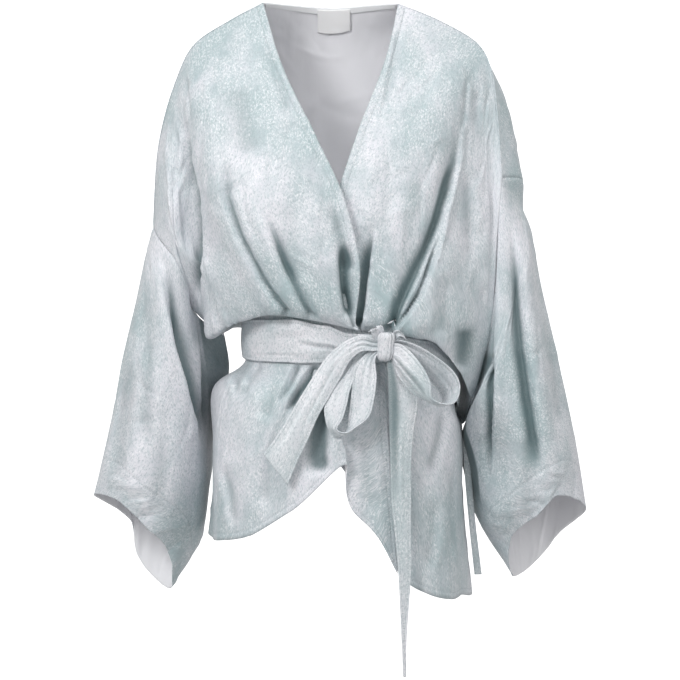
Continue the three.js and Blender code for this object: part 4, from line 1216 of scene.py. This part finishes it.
# How often each pattern repeats in a metre, across, along and through the cloth
PATTERN = {
    "patches": (6.5, 4, 4.2),
    "clouds": (26, 14, 13),
    "strokes": (540, 270, 1),
    "rubbed": (38, 22, 1),
    "grain": (260, 150, 1),
    "flecks": (470, 260, 1),
    "net": (150, 90, 1),
    "net_bends": (90, 90, 1),
    "ripples": (70, 26, 1),
    "slubs": (900, 60, 1),
    "inside_ripples": (60, 20, 1),
    "tape_slubs": (500, 120, 1),
    "tape_bends": (90, 90, 1),
}
WEAVE = {"satin": 420.0, "tape": 260.0}
# How much of its colour each pattern gives the satin; folds is how much painted shade a deep fold takes
SATIN_SHARE = {
    "patches": 0.6,
    "clouds": 0.4,
    "strokes": 0.6,
    "grain": 0.34,
    "flecks": 0.5,
    "net": 0.12,
    "folds": 0.86,
    "stitches": 0.5,
}
# The wash turns from light to dark about this level, over this much to each side
WASH = {"level": 0.48, "soft": 0.12}


def stitches(look, past, along, width, turns, gap):
    """Stitches along a hem: the width of the line in metres, and its turns in radians to a metre."""
    line = look.step(look.math("ABSOLUTE", past), *width)
    dash = look.step(look.math("SINE", look.times(along, turns)), *gap)
    return look.times(line, dash)


def washed_satin(name, light=LILAC, dark=SAGE, move=(0, 0, 0)):
    """The right side: a mottled wash under fine cracks and rubbed strokes, with stitched hems and
    painted shade in its folds.
    """
    look = Look(name)
    body = look.place()
    cloth = look.place("cloth")
    # the wash, in patches as wide as a hand
    patches = look.noise(look.stretch(body, PATTERN["patches"], move), detail=3, rough=0.52, warp=0.5)
    clouds = look.noise(look.stretch(body, PATTERN["clouds"], move), detail=4, rough=0.65)
    wash = look.plus(
        look.times(patches, SATIN_SHARE["patches"]),
        look.times(clouds, SATIN_SHARE["clouds"]),
    )
    wash = look.step(wash, WASH["level"] - WASH["soft"], WASH["level"] + WASH["soft"])
    colour = look.mix(wash, light, dark)
    # pale strokes along the grain, in the places where the cloth is rubbed
    strokes = look.noise(look.stretch(cloth, PATTERN["strokes"]), detail=3, rough=0.75, warp=0.5)
    rubbed = look.noise(look.stretch(cloth, PATTERN["rubbed"], move), detail=3, rough=0.6)
    stroke = look.times(look.step(strokes, 0.49, 0.58), look.step(rubbed, 0.3, 0.56))
    colour = look.mix(look.times(stroke, SATIN_SHARE["strokes"]), colour, PALE)
    # dark grain and small grey flecks
    grain = look.noise(look.stretch(cloth, PATTERN["grain"], (3, 5, 0)), detail=4, rough=0.75)
    grain = look.step(grain, 0.46, 0.62)
    colour = look.mix(look.times(grain, SATIN_SHARE["grain"]), colour, dark)
    fleck = look.noise(look.stretch(cloth, PATTERN["flecks"], (8, 2, 0)), detail=2, rough=0.6)
    fleck = look.step(fleck, 0.53, 0.62)
    colour = look.mix(look.times(fleck, SATIN_SHARE["flecks"]), colour, FLECK)
    # a fine net of cracks
    bends = look.noise(look.stretch(cloth, PATTERN["net_bends"]), detail=3.0, output="Color")
    bent = look.node("ShaderNodeVectorMath", {0: bends, 1: (0.9, 0.9, 0)}, operation="MULTIPLY")
    net_place = look.stretch(cloth, PATTERN["net"])
    net = look.node("ShaderNodeVectorMath", {0: net_place, 1: bent.outputs[0]}, operation="ADD")
    crack = look.step(look.cracks(net.outputs[0]), 0.09, 0.0)
    crack = look.times(crack, look.step(rubbed, 0.36, 0.6))
    colour = look.mix(look.times(crack, SATIN_SHARE["net"]), colour, PALE)
    # painted shade: folds take the dark crease colour by their depth, so they look deeper
    fold = look.step(look.deep(), 0.8, 10.0)
    colour = look.mix(look.times(fold, SATIN_SHARE["folds"]), colour, PAINTED_CREASE_SHADE)
    # stitches along the hems
    past, along = look.node("ShaderNodeSeparateXYZ", {"Vector": look.place("hem")}).outputs[:2]
    stitch = stitches(look, past, along, (0.0009, 0.0003), 2100, (-0.6, 0.0))
    colour = look.mix(look.times(stitch, SATIN_SHARE["stitches"]), colour, THREAD)
    # small ripples, the thickness of the hem, the pull of its stitches, the strokes and the weave
    pull = look.step(look.math("ABSOLUTE", past), 0.0035, 0.0)
    weave = look.node("ShaderNodeTexWave", {"Vector": cloth, "Scale": WEAVE["satin"]})
    ripple = look.noise(look.stretch(cloth, PATTERN["ripples"], move), detail=4, rough=0.55, warp=0.4)
    under = look.bump(ripple, 0.0018, 0.6)
    under = look.bump(look.step(past, 0.0005, -0.0005), 0.0004, 0.8, under)
    under = look.bump(pull, -0.0005, 0.7, under)
    under = look.bump(strokes, 0.00012, 0.5, under)
    under = look.bump(weave.outputs["Fac"], 0.00004, 0.4, under)
    gloss = look.plus(look.times(ripple, 0.12), look.times(stroke, 0.12))
    look.set(Base_Color=colour, Roughness=look.plus(gloss, 0.34), Normal=under)
    look.set(Specular_IOR_Level=0.42, Sheen_Weight=0.18, Sheen_Roughness=0.45)
    return look.material


def wrong_side(name):
    """The matte back of the cloth, where the wash shows through faintly, with painted light in its
    folds.
    """
    look = Look(name)
    body = look.place()
    cloth = look.place("cloth")
    patches = look.noise(look.stretch(body, PATTERN["patches"]), detail=3, rough=0.52)
    patches = look.step(patches, 0.38, 0.64)
    colour = look.mix(look.times(patches, 0.2), WRONG_SIDE, WRONG_SIDE_WASH)
    slub = look.noise(look.stretch(cloth, PATTERN["slubs"]), detail=3, rough=0.6)
    colour = look.mix(look.times(look.step(slub, 0.5, 0.7), 0.16), colour, PALE)
    # painted light: the wrong side is paler where the point lies deep in a fold
    colour = look.mix(look.times(look.step(look.deep(), 2, 10), 0.2), colour, PALE)
    ripple = look.noise(look.stretch(cloth, PATTERN["inside_ripples"]), detail=3, rough=0.55)
    under = look.bump(ripple, 0.0012, 0.5)
    under = look.bump(slub, 0.0001, 0.5, under)
    look.set(Base_Color=colour, Roughness=look.plus(look.times(slub, 0.1), 0.68), Normal=under)
    look.set(Specular_IOR_Level=0.25, Sheen_Weight=0.1)
    return look.material


def woven_tape(name, colour, thread):
    """A plain woven strip or label, with its weave and slightly darker threads."""
    look = Look(name)
    cloth = look.place("cloth")
    threads = {"Vector": cloth, "Scale": WEAVE["tape"]}
    warp = look.node("ShaderNodeTexWave", threads, bands_direction="X")
    weft = look.node("ShaderNodeTexWave", threads, bands_direction="Y")
    weave = look.times(warp.outputs["Fac"], weft.outputs["Fac"])
    slub = look.noise(look.stretch(cloth, PATTERN["tape_slubs"]), detail=3, rough=0.6)
    share = look.plus(look.times(weave, 0.12), look.times(slub, 0.14))
    tint = look.mix(share, colour, thread)
    past, along = look.node("ShaderNodeSeparateXYZ", {"Vector": look.place("hem")}).outputs[:2]
    stitch = stitches(look, past, along, (0.0006, 0.0002), 2600, (-0.5, 0.2))
    tint = look.mix(look.times(stitch, 0.5), tint, thread)
    bends = look.noise(look.stretch(cloth, PATTERN["tape_bends"]), detail=2)
    under = look.bump(weave, 0.00012, 0.5)
    under = look.bump(bends, 0.0004, 0.3, under)
    look.set(Base_Color=tint, Roughness=look.plus(look.times(slub, 0.12), 0.6), Normal=under)
    look.set(Specular_IOR_Level=0.3, Sheen_Weight=0.15)
    return look.material


# The pieces

# Hems, by the edge and how far in they are stitched, in millimetres
FRONT_HEMS = [("left", 9), ("foot", 8)]
BACK_HEMS = [("foot", 8)]
SLEEVE_HEMS = [("foot", 44)]
SASH_HEMS = [("head", 4), ("foot", 4)]
TAPE_HEMS = [("foot", 1.2), ("head", 1.2)]
LABEL_HEMS = [("left", 1.4), ("right", 1.4), ("foot", 1.4), ("head", 1.4)]

# Cloth panels. Columns: node, points, outside, closed, hems, depth of folds
satin = washed_satin("satin")
satin_inside = wrong_side("satin_wrong_side")
PANELS = [
    ("back", back, 1, False, BACK_HEMS, back_deep),
    ("front_right", right_front, 1, False, FRONT_HEMS, right_front_deep),
    ("front_left", left_front, -1, False, FRONT_HEMS, left_front_deep),
    ("sleeve_right", right_sleeve, -1, True, SLEEVE_HEMS, right_sleeve_deep),
    ("sleeve_left", left_sleeve, 1, True, SLEEVE_HEMS, left_sleeve_deep),
]
for node, grid, outside, closed, hems, deep in PANELS:
    piece = cloth_piece(node + "_cloth", grid, outside, closed, [satin, satin_inside], CLOTH, hems, deep)
    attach(piece, BODY)
    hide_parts(node)

# The sash. Columns: node, rows of edges, steps, columns, thickness, folds, stitched edges, cut
EDGES = [("left", 3), ("right", 3)]
sash_satin = washed_satin("sash_satin", light=SASH_LILAC, dark=SASH_SAGE, move=(4, 2, 7))
RIBBONS = [
    ("bow_loop_left", LEFT_LOOP, 300, 28, SASH_CLOTH, LEFT_LOOP_FOLDS, EDGES, (0.024, 0.26)),
    ("bow_loop_right", RIGHT_LOOP, 280, 28, SASH_CLOTH, RIGHT_LOOP_FOLDS, EDGES, (0.026, 0.26)),
    ("tail_short", SHORT_TAIL, 180, 34, SASH_CLOTH, SHORT_TAIL_FOLDS, EDGES, (0.034, 0.2)),
    ("tail_long", LONG_TAIL, 320, 26, SASH_CLOTH, LONG_TAIL_FOLDS, EDGES, (0.022, 0.39)),
    ("side_tie", SIDE_TIE, 160, 8, SIDE_TIE_CLOTH, [], [("left", 1.5)], (0.01, 0.18)),
]
for node, table, steps, columns, thick, folds, hems, cut in RIBBONS:
    grid, deep = ribbon_grid(table, steps, columns, folds)
    piece = cloth_piece(node + "_cloth", grid, 1, False, [sash_satin], thick, hems, deep)
    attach(piece, BODY)
    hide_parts(node)

belt = cloth_piece("belt_band_cloth", sash_grid(), -1, True, [sash_satin], SASH_CLOTH, SASH_HEMS)
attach(belt, BODY)
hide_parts("belt_band")

knot_points, knot_deep = knot_grid()
knot = cloth_piece("bow_knot_cloth", knot_points, -1, True, [sash_satin], 0, deep=knot_deep)
close_ends(knot, KNOT["columns"])
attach(knot, BODY)
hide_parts("bow_knot")
for number, table in enumerate(KNOT_TUFTS, 1):
    grid, deep = ribbon_grid(table, TUFT["steps"], TUFT["columns"], TUFT["folds"])
    name = f"bow_knot_gather_{number}"
    tuft = cloth_piece(name, grid, 1, False, [sash_satin], SASH_CLOTH, EDGES[:1], deep)
    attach(tuft, BODY)

# The tape inside the back neck, and the bare label under it
tape = woven_tape("neck_tape", (0.95, 0.96, 0.97), (0.72, 0.75, 0.78))
label_cloth = woven_tape("label_cloth", (0.97, 0.97, 0.97), (0.82, 0.82, 0.84))
# The columns of the back that lie under the neckline
last_neck = SHOULDER_COLUMNS + NECK_COLUMNS * FINE["back_columns"]
neck_wall = back[:, SHOULDER_COLUMNS : last_neck + 1]
neck_inward = -normals_of(back, False, 1)[:, SHOULDER_COLUMNS : last_neck + 1]
neck_down = arc_length(neck_wall, 0)


def neck_line(values, distance):
    """The values of each column of the back neck's wall at a distance below the neckline."""
    return np.array([
        [np.interp(distance, neck_down[:, k], values[:, k, axis]) for axis in range(3)]
        for k in range(neck_wall.shape[1])
    ])


def inside_patch(patch, rows, columns):
    """A strip on the inside of the back neck, below the neckline, between two places across."""
    grid = np.empty((rows + 1, columns + 1, 3))
    levels = np.linspace(patch["top"], patch["top"] + patch["height"], rows + 1)
    for i, distance in enumerate(levels):
        line = neck_line(neck_wall, distance) + neck_line(neck_inward, distance) * patch["clear"]
        left = max(patch["left"], line[0, 0])
        right = min(patch["right"], line[-1, 0])
        across = np.linspace(left, right, columns + 1)
        for axis in range(3):
            grid[i, :, axis] = np.interp(across, line[:, 0], line[:, axis])
    return grid


# Left and right are places on X, top is below the neckline, and clear is how far off the back's cloth
NECK_TAPE = {"left": -92, "right": 69, "top": 0.5, "height": 9, "thick": 0.6, "clear": 1.6}
LABEL = {"left": -28.0, "right": 13.0, "top": 2.5, "height": 32, "thick": 0.6, "clear": 2.6}
tape_grid = inside_patch(NECK_TAPE, 8, 160)
band = cloth_piece("neck_band_tape", tape_grid, 1, False, [tape], NECK_TAPE["thick"], TAPE_HEMS)
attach(band, BODY)
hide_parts("neck_band")
label_grid = inside_patch(LABEL, 20, 26)
label = cloth_piece("label_cloth_piece", label_grid, 1, False, [label_cloth], LABEL["thick"], LABEL_HEMS)
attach(label, BODY)
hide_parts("label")


# Room, lights and camera

def pale_floor():
    """A white that glows, so that the ground of the picture is even."""
    look = Look("pale_floor")
    grain = look.noise(look.stretch(look.place(), (2, 2, 2)), detail=2)
    look.set(Base_Color=look.mix(look.times(grain, 0.02), (0.97, 0.97, 0.97), (0.93, 0.93, 0.93)))
    look.set(Roughness=0.9, Emission_Color=(1, 1, 1), Emission_Strength=ROOM["glow"])
    return look.material


def add_floor():
    """A white floor that runs up into a white wall all round."""
    bpy.ops.object.select_all(action="DESELECT")
    middle = (0, 0, FLOOR_HEIGHT + ROOM["height"] / 2)
    bpy.ops.mesh.primitive_cylinder_add(
        vertices=96, radius=ROOM["radius"], depth=ROOM["height"], location=middle
    )
    floor = bpy.context.object
    floor.name = "floor"
    bpy.ops.object.mode_set(mode="EDIT")
    bpy.ops.mesh.select_all(action="SELECT")
    bpy.ops.mesh.flip_normals()
    bpy.ops.object.mode_set(mode="OBJECT")
    bpy.ops.object.transform_apply(location=True, rotation=True, scale=True)
    floor.data.materials.append(pale_floor())
    floor.visible_diffuse = False
    floor.visible_glossy = False
    floor.visible_shadow = False


def add_light(name, place, size, power):
    """A soft light that is aimed at the middle of the picture."""
    data = bpy.data.lights.new(name, "AREA")
    data.shape = "RECTANGLE"
    data.size, data.size_y = size
    data.energy = power
    light = bpy.data.objects.new(name, data)
    light.location = place
    aim = Vector((0, 0, CAMERA["height"])) - light.location
    light.rotation_euler = aim.to_track_quat("-Z", "Y").to_euler()
    bpy.context.scene.collection.objects.link(light)


def add_camera():
    """A level camera in front, with a long lens."""
    data = bpy.data.cameras.new("camera")
    data.lens = CAMERA["lens"]
    data.sensor_width = CAMERA["sensor"]
    data.clip_end = 100
    camera = bpy.data.objects.new("camera", data)
    camera.location = (0, -CAMERA["distance"], CAMERA["height"])
    camera.rotation_euler = (math.pi / 2, 0, 0)
    bpy.context.scene.collection.objects.link(camera)
    bpy.context.scene.camera = camera


add_floor()
for light in LIGHTS:
    add_light(*light)
add_camera()
world = bpy.data.worlds.new("studio")
world.use_nodes = True
sky = world.node_tree.nodes["Background"]
sky.inputs["Color"].default_value = (1, 1, 1, 1)
sky.inputs["Strength"].default_value = ROOM["sky"]
bpy.context.scene.world = world
bpy.context.scene.view_settings.view_transform = "Standard"
